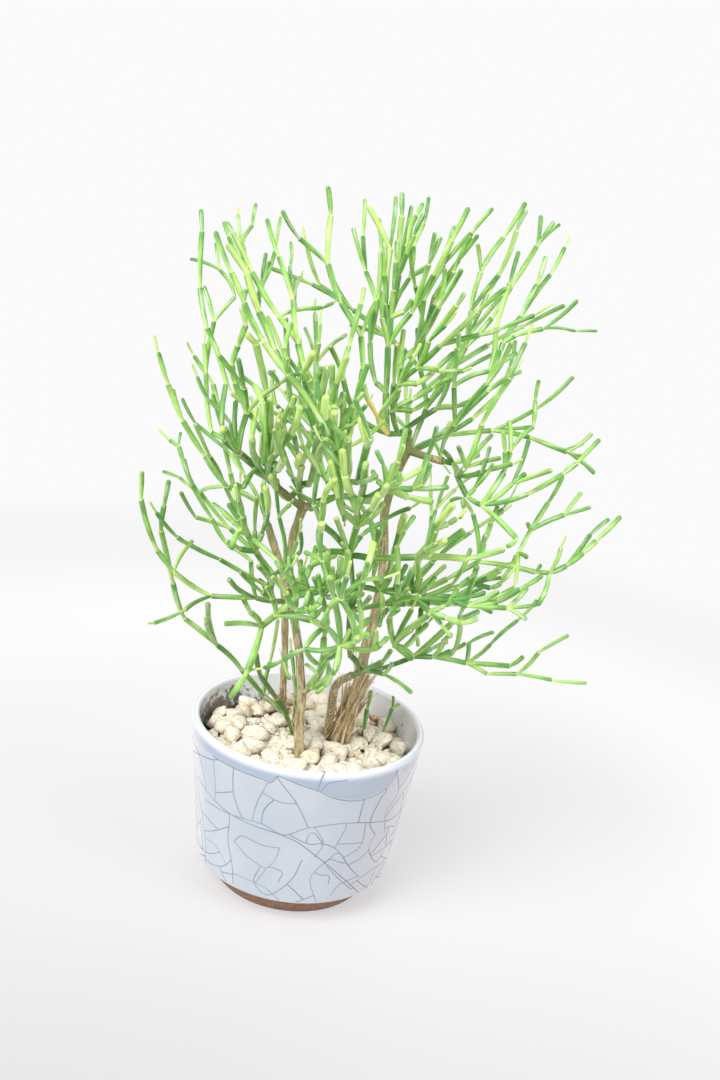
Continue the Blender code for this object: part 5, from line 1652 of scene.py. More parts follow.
def piled_stones(feet, tan_spots):
    """Stones dropped one by one, each to the lowest place that it finds near where it falls."""
    draw = random.Random(SEED)
    places = np.zeros((0, 3))
    sizes = np.zeros(0)
    for attempt in range(STONE_TRIES + CRUMB_TRIES):
        crumb = attempt >= STONE_TRIES
        if crumb:
            radius, nest, top = draw.uniform(*CRUMB_RADIUS), CRUMB_NEST, CRUMB_TOP
        else:
            radius, nest, top = draw.triangular(*STONE_RADIUS, STONE_USUAL), STONE_NEST, STONE_TOP
        best = None
        reach = inner_radius(GROUND) - radius * STONE_OFF_WALL
        distance = reach * math.sqrt(draw.random())
        angle = draw.uniform(0, 2 * math.pi)
        for nudge in range(STONE_NUDGES):
            off_x = draw.uniform(-STONE_NUDGE, STONE_NUDGE) * MM * min(nudge, 1)
            off_y = draw.uniform(-STONE_NUDGE, STONE_NUDGE) * MM * min(nudge, 1)
            x, y = distance * math.cos(angle) + off_x, distance * math.sin(angle) + off_y
            if math.hypot(x, y) > reach:
                continue
            if any(math.hypot(x - a, y - b) < size + radius * STONE_SEAT for a, b, size in feet):
                continue
            z = resting_height(x, y, radius, nest, places, sizes)
            if best is None or z < best[2]:
                best = (x, y, z)
        if crumb and best and in_tan_patch(best, tan_spots):
            top = TAN_TOP
        if best is None or best[2] + radius * STONE_SEAT > top:
            continue
        places = np.vstack([places, best])
        sizes = np.append(sizes, radius)
    return places, sizes


def stone(base, place, radius, draw):
    """Points of one stone: a ball cut by soft facets, squashed and turned."""
    normals = []
    for facet in range(STONE_FACETS):
        normal = Vector([draw.gauss(0, 1) for axis in range(3)]).normalized()
        normals.append(np.array(normal) / draw.uniform(*STONE_CUTS))
    reach = np.maximum(base @ np.array(normals).T, 0.0)
    distance = (reach ** STONE_EDGE).sum(axis=1) ** (-1 / STONE_EDGE)
    points = base * np.minimum(distance, STONE_CORNER)[:, None]
    breadth, thickness = draw.uniform(*STONE_BREADTH), draw.uniform(*STONE_THICKNESS)
    points = points * np.array([STONE_LENGTH, breadth, thickness])
    shift = Vector([draw.uniform(0, 50) for axis in range(3)])
    lumps = np.array([noise.noise(Vector(p) * LUMP_WAVES + shift) for p in points])
    dents = np.array([noise.noise(Vector(p) * DENT_WAVES + shift) for p in points])
    points = points * (1 + STONE_LUMPS * lumps + STONE_DENTS * dents)[:, None]
    turn = Matrix.Rotation(draw.uniform(0, 2 * math.pi), 3, "Z")
    spin = turn @ Matrix.Rotation(draw.gauss(0, STONE_LEAN), 3, "X")
    return (points @ np.array(spin).T) * radius * STONE_FULLNESS + place


def ball(level):
    """The points and faces of a ball of radius 1."""
    shape = bmesh.new()
    bmesh.ops.create_icosphere(shape, subdivisions=level, radius=1)
    shape.verts.ensure_lookup_table()
    points = np.array([vert.co[:] for vert in shape.verts])
    faces = [tuple(vert.index for vert in face.verts) for face in shape.faces]
    shape.free()
    return points, faces


def make_stones(plant, stems, material):
    tan_spots = [on_ground(spot) for spot in TAN_SPOTS]
    places, sizes = piled_stones(stem_feet(plant, stems), tan_spots)
    draw = random.Random(SEED + 1)
    coarse, fine = ball(2), ball(3)
    top, under = Skin(), Skin()
    for place, radius in zip(places, sizes):
        seen = place[2] + radius > STONE_TOP - TOP_STONE_DEPTH
        crumb = radius < SMALLEST_STONE
        points, faces = fine if seen and radius > SMALLEST_STONE else coarse
        tan = crumb and (in_tan_patch(place, tan_spots) or draw.random() < TAN_CHANCE)
        mark = (draw.random(), draw.random(), float(tan), 1.0)
        (top if seen else under).shape(stone(points, place, radius, draw), faces, mark)
    fit_in(top.made("pumice_top", material, sharp=75), "gravel", "gravel")
    fit_in(under.made("pumice_under", material, sharp=75), "gravel")


# Pot

POT_STEPS = 168
POT_MERGE = 0.01 * MM
POT_SHARP = math.radians(50)
BEAD = 0.8 * MM
BEAD_CENTRE = (GLAZE_END_RADIUS - 0.2 * MM, GLAZE_END_HEIGHT + BEAD)
CLAY_TOP = (GLAZE_END_RADIUS - 0.9 * MM, GLAZE_END_HEIGHT - 0.25 * MM)
CLAY_FOOT = [
    (FOOT_RADIUS + 1.0 * MM, 0.9 * MM), (FOOT_RADIUS + 0.3 * MM, 0.2 * MM),
    (FOOT_RADIUS - 0.4 * MM, 0), (0, 0),
]


def between(start, end, steps):
    """The points that part a line into equal steps, without its ends."""
    return [tuple(a + (b - a) * i / steps for a, b in zip(start, end)) for i in range(1, steps)]


def pot_profile():
    """The turned pot's radii and heights: inside, lip, outside, bead and foot."""
    top = FLOOR_THICKNESS + FLOOR_FILLET
    lip = POT_HEIGHT - WALL / 2
    profile = [(0, FLOOR_THICKNESS), (inner_radius(top) * 0.5, FLOOR_THICKNESS)]
    profile += arc((inner_radius(top) - FLOOR_FILLET, top), FLOOR_FILLET, -90, -8, 8)
    profile += between(profile[-1], (RIM_RADIUS - WALL, lip), 12)
    profile += arc((RIM_RADIUS - WALL / 2, lip), WALL / 2, 180, 0, 14)
    profile += between((RIM_RADIUS, lip), (BEAD_CENTRE[0] + BEAD, BEAD_CENTRE[1]), 22)
    profile += arc(BEAD_CENTRE, BEAD, 0, -80, 5)
    return profile + [CLAY_TOP] + between(CLAY_TOP, CLAY_FOOT[0], 6) + CLAY_FOOT


def make_fine_pot(material):
    """The pot turned again with more steps, a fuller lip and a bead where the glaze ends."""
    profile = pot_profile()
    mesh = bpy.data.meshes.new("pot_profile")
    edges = [(i, i + 1) for i in range(len(profile) - 1)]
    mesh.from_pydata([(r, 0, z) for r, z in profile], edges, [])
    pot = linked("crackle_pot", mesh)
    screw = pot.modifiers.new("turn", "SCREW")
    screw.steps = POT_STEPS
    screw.render_steps = POT_STEPS
    screw.use_merge_vertices = True
    screw.merge_threshold = POT_MERGE
    screw.use_smooth_shade = True
    graph = bpy.context.evaluated_depsgraph_get()
    turned_mesh = bpy.data.meshes.new_from_object(pot.evaluated_get(graph))
    pot.modifiers.clear()
    pot.data = turned_mesh
    bpy.data.meshes.remove(mesh)
    turned_mesh.materials.clear()
    turned_mesh.materials.append(material)
    turned_mesh.shade_smooth()
    turned_mesh.set_sharp_from_angle(angle=POT_SHARP)
    front = np.array([on_pot(spot) for line in SCALLOP_LINES for spot in line])
    angles = [math.atan2(vert.co.x, -vert.co.y) for vert in turned_mesh.vertices]
    scallops = turned_mesh.attributes.new("scallop", "FLOAT", "POINT")
    scallops.data.foreach_set("value", [scallop_height(angle, front) for angle in angles])
    fit_in(pot, "glaze", "pot")


SCALLOP_ENDS = 6 * MM
SCALLOP_HEIGHT = 80 * MM
SCALLOP_RISE = 4 * MM
SCALLOP_WAVES = 1.9
SCALLOP_SLICE = 4.2


def scallop_height(angle, front):
    """Where the thick blue glaze under the lip ends: by the photograph in front, waved behind."""
    place = angle * CRACK_MIDDLE_RADIUS
    spot = (math.cos(angle) * SCALLOP_WAVES, math.sin(angle) * SCALLOP_WAVES, SCALLOP_SLICE)
    waved = SCALLOP_HEIGHT + SCALLOP_RISE * noise.noise(Vector(spot))
    shown = float(np.interp(place, front[:, 0], front[:, 1]))
    past = max(front[0, 0] - place, place - front[-1, 0], 0.0)
    share = min(1.0, past / SCALLOP_ENDS)
    return shown + (waved - shown) * share


# Cracks in the glaze

CRACK_WIDTH = (0.46 * MM, 0.66 * MM)
SNAP_REACH = 3.6 * MM
CRACK_LIFT = 0.035 * MM
CRACK_DEPTH = 0.12 * MM
CRACK_STEP = 1.5 * MM
CRACK_TOP = 85.5 * MM
CRACK_FOOT = GLAZE_END_HEIGHT + 1.4 * MM
CRACK_MIDDLE_RADIUS = 55 * MM
FIRST_CRACKS = 9
CRACK_TRIES = 2600
CRACK_ROOM = (5.5 * MM, 13 * MM)
CRACK_ROOM_TOP = 70 * MM
FRONT_ROOM = 1.6
SHORTEST_CRACK = 5 * MM
LONGEST_CRACK = 150 * MM
LONGEST_BRANCH = 60 * MM
FIRST_HEIGHTS = (30 * MM, 72 * MM)
FIRST_ANGLES = (-0.5, 0.45, 0.3, -0.3, 1.2)
BRANCH_STRAY = 0.28
# How a crack turns at each step: its first turning, how much of it stays, and what is added
FIRST_TURNING = 0.02
TURNING_KEPT = 0.96
TURNING_ADDED = 0.011
LEAVING = 0.02
FRONT_EDGES = ((198, 776), (400, 768))
# The larger cracks that show, as picture points
FRONT_CRACKS = [
    [(198, 776), (232, 815), (284, 836), (316, 856), (358, 892)],
    [(205, 799), (235, 816), (262, 824), (284, 835), (309, 828), (350, 823), (392, 819)],
    [(213, 756), (236, 769), (262, 779), (270, 783), (279, 775)],
    [(279, 776), (300, 785), (318, 791), (336, 799), (362, 800), (386, 788), (400, 768)],
    [(267, 784), (257, 803), (252, 821)],
    [(278, 779), (295, 801), (304, 818), (308, 828)],
    [(266, 795), (280, 802), (295, 804)],
    [(272, 801), (264, 810), (261, 824)],
    [(364, 801), (358, 823)],
    [(325, 771), (317, 791)],
    [(322, 790), (330, 783), (348, 780)],
    [(230, 817), (228, 840), (232, 865), (233, 884)],
    [(235, 840), (243, 836), (262, 845), (280, 848)],
    [(234, 841), (248, 857), (266, 869)],
    [(280, 848), (274, 861), (266, 869), (256, 882)],
    [(234, 873), (262, 886), (279, 900)],
    [(259, 868), (254, 882), (268, 895), (291, 880), (302, 860)],
    [(291, 836), (309, 844), (323, 844), (337, 850), (350, 868), (360, 878)],
    [(316, 829), (323, 844), (312, 860)],
    [(306, 844), (308, 836), (314, 833), (323, 844)],
    [(347, 826), (336, 846)],
    [(366, 823), (361, 845), (348, 855)],
    [(338, 844), (364, 842)],
    [(322, 865), (338, 853), (345, 863), (328, 858)],
    [(320, 866), (310, 880), (316, 902)],
    [(318, 875), (329, 876), (328, 884)],
    [(345, 866), (358, 860), (366, 853)],
    [(352, 890), (340, 880), (326, 866)],
    [(268, 866), (282, 872), (278, 882)],
    [(206, 838), (216, 846), (226, 864)],
    [(372, 838), (369, 852), (376, 862), (384, 850)],
    [(388, 789), (380, 800), (370, 823), (376, 836)],
    [(396, 768), (398, 792), (386, 812), (384, 834)],
    [(330, 896), (340, 884), (358, 876)],
]
SCALLOP_LINES = FRONT_CRACKS[2:4]


def outer_radius(height):
    """The pot's outside where it is glazed."""
    share = (height - BEAD_CENTRE[1]) / (POT_HEIGHT - WALL / 2 - BEAD_CENTRE[1])
    low = BEAD_CENTRE[0] + BEAD
    return low + (RIM_RADIUS - low) * share


def on_pot(spot):
    """A picture point on the pot's outside, as a length round it and a height."""
    ray = sight(spot)
    near_side = 0.0
    far_side = -(EYE.x * ray.x + EYE.y * ray.y) / (ray.x ** 2 + ray.y ** 2)
    for step in range(40):
        middle = (near_side + far_side) / 2
        point = EYE + ray * middle
        if math.hypot(point.x, point.y) > outer_radius(point.z):
            near_side = middle
        else:
            far_side = middle
    return np.array([math.atan2(point.x, -point.y) * CRACK_MIDDLE_RADIUS, point.z])


def off_pot(spot, lift):
    """The point at a length round the pot and a height, lifted off the glaze."""
    angle = spot[0] / CRACK_MIDDLE_RADIUS
    radius = outer_radius(spot[1]) + lift
    return (radius * math.sin(angle), -radius * math.cos(angle), spot[1])


class Crazing:
    """Cracks on the unrolled glaze, each of which runs until it meets another."""

    def __init__(self):
        self.starts = np.zeros((0, 2))
        self.ends = np.zeros((0, 2))
        self.lines = []
        self.round = 2 * math.pi * CRACK_MIDDLE_RADIUS

    def add(self, line):
        line = np.array(line)
        self.lines.append(line)
        for turn in (-1, 0, 1):
            shift = np.array([turn * self.round, 0])
            self.starts = np.vstack([self.starts, line[:-1] + shift])
            self.ends = np.vstack([self.ends, line[1:] + shift])

    def met(self, a, b):
        """How far along a step from a to b the first crack is, or None."""
        if not len(self.starts):
            return None
        step = b - a
        across_it = self.ends - self.starts
        away = self.starts - a
        area = step[0] * across_it[:, 1] - step[1] * across_it[:, 0]
        area = np.where(np.abs(area) < 1e-12, 1e-12, area)
        s = (away[:, 0] * across_it[:, 1] - away[:, 1] * across_it[:, 0]) / area
        t = (away[:, 0] * step[1] - away[:, 1] * step[0]) / area
        hits = s[(s > 0) & (s <= 1) & (t >= 0) & (t <= 1)]
        return float(hits.min()) if len(hits) else None

    def run(self, start, angle, draw, longest):
        """A crack's points from its start until it meets a crack or an edge of the glaze."""
        line = [np.array(start)]
        turning = draw.gauss(0, FIRST_TURNING)
        while len(line) * CRACK_STEP < longest:
            turning = turning * TURNING_KEPT + draw.gauss(0, TURNING_ADDED)
            angle += turning
            ahead = line[-1] + CRACK_STEP * np.array([math.cos(angle), math.sin(angle)])
            lead = line[-1] + (ahead - line[-1]) * (LEAVING if len(line) == 1 else 0.0)
            hit = self.met(lead, ahead)
            if hit is not None:
                line.append(lead + (ahead - lead) * hit)
                return line
            line.append(ahead)
            if not CRACK_FOOT < ahead[1] < CRACK_TOP:
                line[-1][1] = min(max(ahead[1], CRACK_FOOT), CRACK_TOP)
                return line
        return line

    def room(self, spot):
        """How far the nearest crack that starts or bends near a spot is."""
        return float(np.linalg.norm(self.starts - spot, axis=1).min())


def smooth_line(corners):
    """Points a step apart on a smooth curve through a crack's corners."""
    corners = [np.array(corner) for corner in corners]
    ends = [corners[0] * 2 - corners[1]] + corners + [corners[-1] * 2 - corners[-2]]
    line = [corners[0]]
    for p, q, r, s in zip(ends, ends[1:], ends[2:], ends[3:]):
        count = max(1, round(float(np.linalg.norm(r - q)) / CRACK_STEP))
        for i in range(1, count + 1):
            t = i / count
            curve = 2 * q + (r - p) * t
            curve = curve + (2 * p - 5 * q + 4 * r - s) * t ** 2
            line.append(0.5 * (curve + (3 * q - p - 3 * r + s) * t ** 3))
    return line


def snapped(lines):
    """The lines with each end moved onto the nearest other line, where one is close."""
    for i, line in enumerate(lines):
        others = np.vstack([other for j, other in enumerate(lines) if j != i])
        for end in (0, -1):
            away = np.linalg.norm(others - line[end], axis=1)
            if away.min() < SNAP_REACH:
                line[end] = others[away.argmin()]
    return lines


def crazed_lines():
    """The front's cracks from the photograph, and others by rule over the rest of the glaze."""
    draw = random.Random(SEED)
    crazing = Crazing()
    front_lines = [[on_pot(spot) for spot in spots] for spots in FRONT_CRACKS]
    for line in snapped([np.array(smooth_line(corners)) for corners in front_lines]):
        crazing.add(line)
    front = [on_pot(spot)[0] for spot in FRONT_EDGES]
    back = crazing.round - (front[1] - front[0])
    for i in range(FIRST_CRACKS):
        start = (front[1] + back * (i + 0.5) / FIRST_CRACKS, draw.uniform(*FIRST_HEIGHTS))
        angle = draw.choice(FIRST_ANGLES)
        there = crazing.run(start, angle, draw, LONGEST_CRACK)
        back_again = crazing.run(start, angle + math.pi, draw, LONGEST_CRACK)
        crazing.add(back_again[::-1] + there[1:])
    for attempt in range(CRACK_TRIES):
        line = draw.choice(crazing.lines)
        if len(line) < 4:
            continue
        i = draw.randrange(1, len(line) - 1)
        start = line[i]
        along_it = line[i + 1] - line[i - 1]
        turn = draw.choice((-1, 1)) * math.pi / 2 + draw.gauss(0, BRANCH_STRAY)
        angle = math.atan2(along_it[1], along_it[0]) + turn
        found = crazing.run(start, angle, draw, LONGEST_BRANCH)
        low = max(0.0, 1 - start[1] / CRACK_ROOM_TOP)
        spacing = CRACK_ROOM[1] + (CRACK_ROOM[0] - CRACK_ROOM[1]) * low
        if front[0] < start[0] < front[1]:
            spacing *= FRONT_ROOM
        short = len(found) * CRACK_STEP < SHORTEST_CRACK
        if short or crazing.room(found[len(found) // 2]) < spacing * 0.5:
            continue
        crazing.add(found)
    return crazing.lines


def make_cracks(material):
    """Thin dark lines that lie in the face of the glaze, each a strip sunk into it."""
    draw = random.Random(SEED + 5)
    skin = Skin()
    for line in crazed_lines():
        width = draw.uniform(*CRACK_WIDTH)
        mark = (draw.random(), 0, 0, 1)
        rings = []
        for i, spot in enumerate(line):
            way = line[min(i + 1, len(line) - 1)] - line[max(i - 1, 0)]
            way = way / max(np.linalg.norm(way), 1e-9)
            edge = np.array([-way[1], way[0]]) * width / 2
            corners = [(spot - edge, CRACK_LIFT), (spot, -CRACK_DEPTH), (spot + edge, CRACK_LIFT)]
            rings.append(np.array([off_pot(corner, lift) for corner, lift in corners]))
        skin.rings(rings, [mark] * len(rings))
    fit_in(skin.made("crackle_lines", material), "glaze")


# Materials

class Nodes:
    """Short calls for building a shader."""

    def __init__(self, name):
        self.material = bpy.data.materials.new(name)
        self.material.use_nodes = True
        self.tree = self.material.node_tree
        self.shader = self.tree.nodes["Principled BSDF"]

    def add(self, kind, values=(), **settings):
        node = self.tree.nodes.new(kind)
        for key, value in settings.items():
            setattr(node, key, value)
        for key, value in dict(values).items():
            self.put(node.inputs[key], value)
        return node

    def put(self, socket, value):
        if isinstance(value, bpy.types.NodeSocket):
            self.tree.links.new(value, socket)
        else:
            socket.default_value = value

    def math(self, operation, *values):
        node = self.add("ShaderNodeMath", operation=operation)
        for socket, value in zip(node.inputs, values):
            self.put(socket, value)
        return node.outputs[0]

    def times(self, a, b):
        return self.math("MULTIPLY", a, b)

    def plus(self, a, b):
        return self.math("ADD", a, b)

    def mix(self, factor, a, b):
        node = self.add("ShaderNodeMix", data_type="RGBA")
        for key, value in (("Factor", factor), ("A", a), ("B", b)):
            self.put(node.inputs[key], (*value, 1) if isinstance(value, tuple) else value)
        return node.outputs["Result"]

    def layers(self, colour, *coats):
        """A colour with others laid over it, each with the factor that it covers by."""
        for factor, coat in coats:
            colour = self.mix(factor, colour, coat)
        return colour

    def ramp(self, value, low, high, out_low=0.0, out_high=1.0, smooth=True):
        ends = {"From Min": low, "From Max": high, "To Min": out_low, "To Max": out_high}
        kind = "SMOOTHSTEP" if smooth else "LINEAR"
        node = self.add("ShaderNodeMapRange", {"Value": value, **ends}, interpolation_type=kind)
        return node.outputs["Result"]

    def place(self, scale=(1, 1, 1)):
        coordinates = self.add("ShaderNodeTexCoord").outputs["Object"]
        return self.add("ShaderNodeMapping", {"Vector": coordinates, "Scale": scale}).outputs["Vector"]

    def noise(self, place, scale, detail=3.0, rough=0.55):
        values = {"Vector": place, "Scale": scale, "Detail": detail, "Roughness": rough}
        return self.add("ShaderNodeTexNoise", values).outputs["Fac"]

    def cells(self, place, scale):
        node = self.add("ShaderNodeTexVoronoi", {"Vector": place, "Scale": scale})
        return node.outputs["Distance"]

    def attribute(self, name, output):
        return self.add("ShaderNodeAttribute", attribute_name=name).outputs[output]

    def facing(self, blend):
        return self.add("ShaderNodeLayerWeight", {"Blend": blend}).outputs["Facing"]

    def marks(self):
        node = self.add("ShaderNodeAttribute", attribute_name="marks")
        parts = self.add("ShaderNodeSeparateColor", {"Color": node.outputs["Color"]})
        return (*[parts.outputs[name] for name in ("Red", "Green", "Blue")], node.outputs["Alpha"])

    def finish(self, colour, roughness, bump=None, strength=0.3, distance=0.0005, **fixed):
        self.put(self.shader.inputs["Base Color"], colour)
        self.put(self.shader.inputs["Roughness"], roughness)
        for key, value in fixed.items():
            self.shader.inputs[key.replace("_", " ")].default_value = value
        if bump is not None:
            values = {"Height": bump, "Strength": strength, "Distance": distance}
            normal = self.add("ShaderNodeBump", values).outputs["Normal"]
            self.tree.links.new(normal, self.shader.inputs["Normal"])
        return self.material


def linear(*shades):
    """A colour given as 0 to 255 on screen."""
    return tuple(((c / 255 + 0.055) / 1.055) ** 2.4 if c > 10 else c / 255 / 12.92 for c in shades)


GREEN_NECK = linear(192, 222, 126)
GREEN_BODY = linear(142, 196, 98)
GREEN_TIP = linear(74, 136, 54)
GREEN_YOUNG = linear(204, 230, 130)
GREEN_BLUISH = linear(108, 168, 108)
GREEN_YELLOW = linear(255, 222, 128)
# Dark green of older skin, streaks and specks, also laid on as painted shade inside the crown
GREEN_OLD_AND_SHADE = linear(58, 102, 38)
# Pale green of the streaks along the segments, and of the sheen painted at their edges
GREEN_STREAK_AND_PAINTED_SHEEN = linear(226, 242, 196)
CORK = linear(150, 142, 96)
JOINT_CREAM = linear(214, 222, 160)
TIP_BUFF = linear(206, 186, 120)


def green_material():
    """Green segments: share runs along each, and tone, age and outer are the same all over it."""
    n = Nodes("jointed_green")
    share, tone, age, outer = n.marks()
    place = n.place()
    blotch = n.noise(place, 180, 2)
    cork = n.times(n.ramp(outer, 0.4, 0.1), n.ramp(n.noise(place, 240, 4), 0.5, 0.6, 0.0, 0.8))
    streak = n.noise(n.attribute("grain", "Vector"), 520, 1.5, 0.5)
    joint = n.times(n.ramp(share, 0.97, 0.99), n.ramp(outer, 0.995, 0.985))
    eye = n.times(n.ramp(share, 0.985, 0.998), n.ramp(outer, 0.985, 0.995))
    speck = n.ramp(n.cells(place, 420.0), 0.1, 0.05)
    body = n.layers(
        GREEN_NECK,
        (n.ramp(share, 0.0, 0.3), GREEN_BODY),
        (n.ramp(share, 0.55, 1.0, 0.0, 0.8), GREEN_TIP),
        (n.ramp(tone, 0.5, 0.0, 0.0, 0.55), GREEN_BLUISH),
        (n.ramp(tone, 0.62, 1.0, 0.0, 0.5), GREEN_NECK),
        (n.ramp(tone, 0.3, 0.12, 0.0, 0.45), GREEN_TIP),
        # Darker toward the stems: partly older skin, partly painted shade for the crown's inside
        (n.ramp(outer, 0.62, 0.15, 0.0, 0.7), GREEN_OLD_AND_SHADE),
        (cork, CORK),
        (n.ramp(age, 0.3, 1.0, 0.0, 0.85), GREEN_YOUNG),
        (n.ramp(blotch, 0.4, 0.75, 0.0, 0.25), GREEN_NECK),
        (n.ramp(streak, 0.54, 0.7, 0.0, 0.42), GREEN_STREAK_AND_PAINTED_SHEEN),
        (n.ramp(streak, 0.46, 0.32, 0.0, 0.4), GREEN_OLD_AND_SHADE),
        # Painted sheen: each segment pales toward its grazing edges, standing in for light off the
        # white surroundings
        (n.ramp(n.facing(0.4), 0.45, 1.0, 0.0, 0.5), GREEN_STREAK_AND_PAINTED_SHEEN),
        (n.ramp(tone, 0.994, 0.996), GREEN_YELLOW),
        (n.times(joint, n.ramp(tone, 0.25, 0.5, 0.1, 0.5)), JOINT_CREAM),
        (n.times(eye, n.ramp(tone, 0.5, 0.6, 0.15, 0.8)), TIP_BUFF),
        (n.times(speck, n.ramp(age, 0.7, 0.2, 0.08, 0.35)), GREEN_OLD_AND_SHADE),
    )
    return n.finish(
        body, n.ramp(blotch, 0.2, 0.8, 0.36, 0.54, smooth=False), bump=streak, strength=0.3,
        distance=0.0003, Subsurface_Weight=0.05, Subsurface_Scale=0.0015, Specular_IOR_Level=0.3,
    )


BARK_DARK = linear(144, 127, 94)
BARK_PALE = linear(222, 206, 166)
BARK_OLIVE = linear(150, 143, 102)
BARK_GREENISH = linear(134, 140, 82)
STRAW_PALE = linear(242, 226, 190)
STRAW_TAN = linear(206, 180, 138)
STRAW_FIBRE = linear(166, 136, 96)


def bark_material():
    n = Nodes("peeling_bark")
    height, tint, flake = n.marks()[1:]
    fibre = n.noise(n.place((1, 1, 0.16)), 900, 5, 0.65)
    patch = n.noise(n.place((1, 1, 0.5)), 160, 3)
    greenish = n.times(n.ramp(height, 0.25, 0.9), n.ramp(patch, 0.35, 0.6, 0.2, 0.9))
    bark = n.layers(
        BARK_DARK,
        (n.ramp(fibre, 0.36, 0.66), BARK_PALE),
        (n.ramp(patch, 0.42, 0.66, 0.0, 0.7), BARK_OLIVE),
        (greenish, BARK_GREENISH),
    )
    straw = n.layers(
        STRAW_PALE,
        (n.ramp(tint, 0.1, 0.9), STRAW_TAN),
        (n.ramp(fibre, 0.4, 0.62, 0.0, 0.4), STRAW_FIBRE),
    )
    bump = n.plus(fibre, n.times(patch, 0.6))
    return n.finish(
        n.mix(flake, bark, straw), 0.82, bump=bump, strength=0.55, distance=0.0008,
        Specular_IOR_Level=0.25,
    )


STONE_CREAM = linear(238, 228, 211)
STONE_WHITE = linear(250, 244, 230)
STONE_WARM = linear(226, 202, 166)
STONE_MOTTLE = linear(222, 206, 174)
STONE_GRIT = linear(184, 162, 128)
STONE_TAN = linear(206, 164, 132)


def stone_material():
    n = Nodes("pumice")
    shade, warm, tan = n.marks()[:3]
    place = n.place()
    grit = n.noise(place, 900, 4, 0.7)
    colour = n.layers(
        STONE_CREAM,
        (n.ramp(shade, 0.0, 1.0, smooth=False), STONE_WHITE),
        (n.ramp(warm, 0.86, 1.0, 0.0, 0.45), STONE_WARM),
        (n.ramp(n.noise(place, 140, 4), 0.45, 0.75, 0.0, 0.4), STONE_MOTTLE),
        (n.ramp(grit, 0.62, 0.74, 0.0, 0.4), STONE_GRIT),
        (n.times(tan, 0.9), STONE_TAN),
    )
    bump = n.plus(n.times(grit, 0.6), n.ramp(n.cells(place, 700.0), 0.0, 0.35))
    bump = n.plus(bump, n.times(n.noise(place, 330, 3, 0.6), 1.8))
    return n.finish(colour, 0.9, bump=bump, strength=0.9, distance=0.001, Specular_IOR_Level=0.2)


SOIL_DARK = linear(34, 26, 20)
SOIL_BROWN = linear(92, 70, 50)


def soil_material():
    n = Nodes("potting_mix")
    crumb = n.noise(n.place(), 420, 5, 0.7)
    colour = n.mix(n.ramp(crumb, 0.35, 0.7), SOIL_DARK, SOIL_BROWN)
    return n.finish(colour, 0.95, bump=crumb, strength=0.8, distance=0.0015)


GLAZE_BLUE = linear(180, 189, 200)
GLAZE_PALE = linear(194, 199, 207)
GLAZE_BAND = linear(152, 168, 188)
GLAZE_WHITE = linear(229, 231, 237)
# Paler glaze of the lip, which also stands in for its highlight
GLAZE_LIP_AND_HIGHLIGHT = linear(210, 215, 226)
# Warm pale glaze: partly a tint, partly painted light on the pot's right side
GLAZE_WARM_PAINTED_LIGHT = linear(208, 203, 206)
# Pale sheen painted at the pot's grazing edges
GLAZE_EDGE_SHEEN = linear(236, 234, 239)
CRACK_BLUE = linear(124, 138, 152)
CLAY = linear(128, 92, 72)
CLAY_LIGHT = linear(158, 120, 94)
CLAY_EDGE = linear(176, 140, 112)
SOIL_STAIN = linear(84, 64, 50)
WALL_CRUMBS = linear(158, 118, 92)
LOW_WALL = 20 * MM


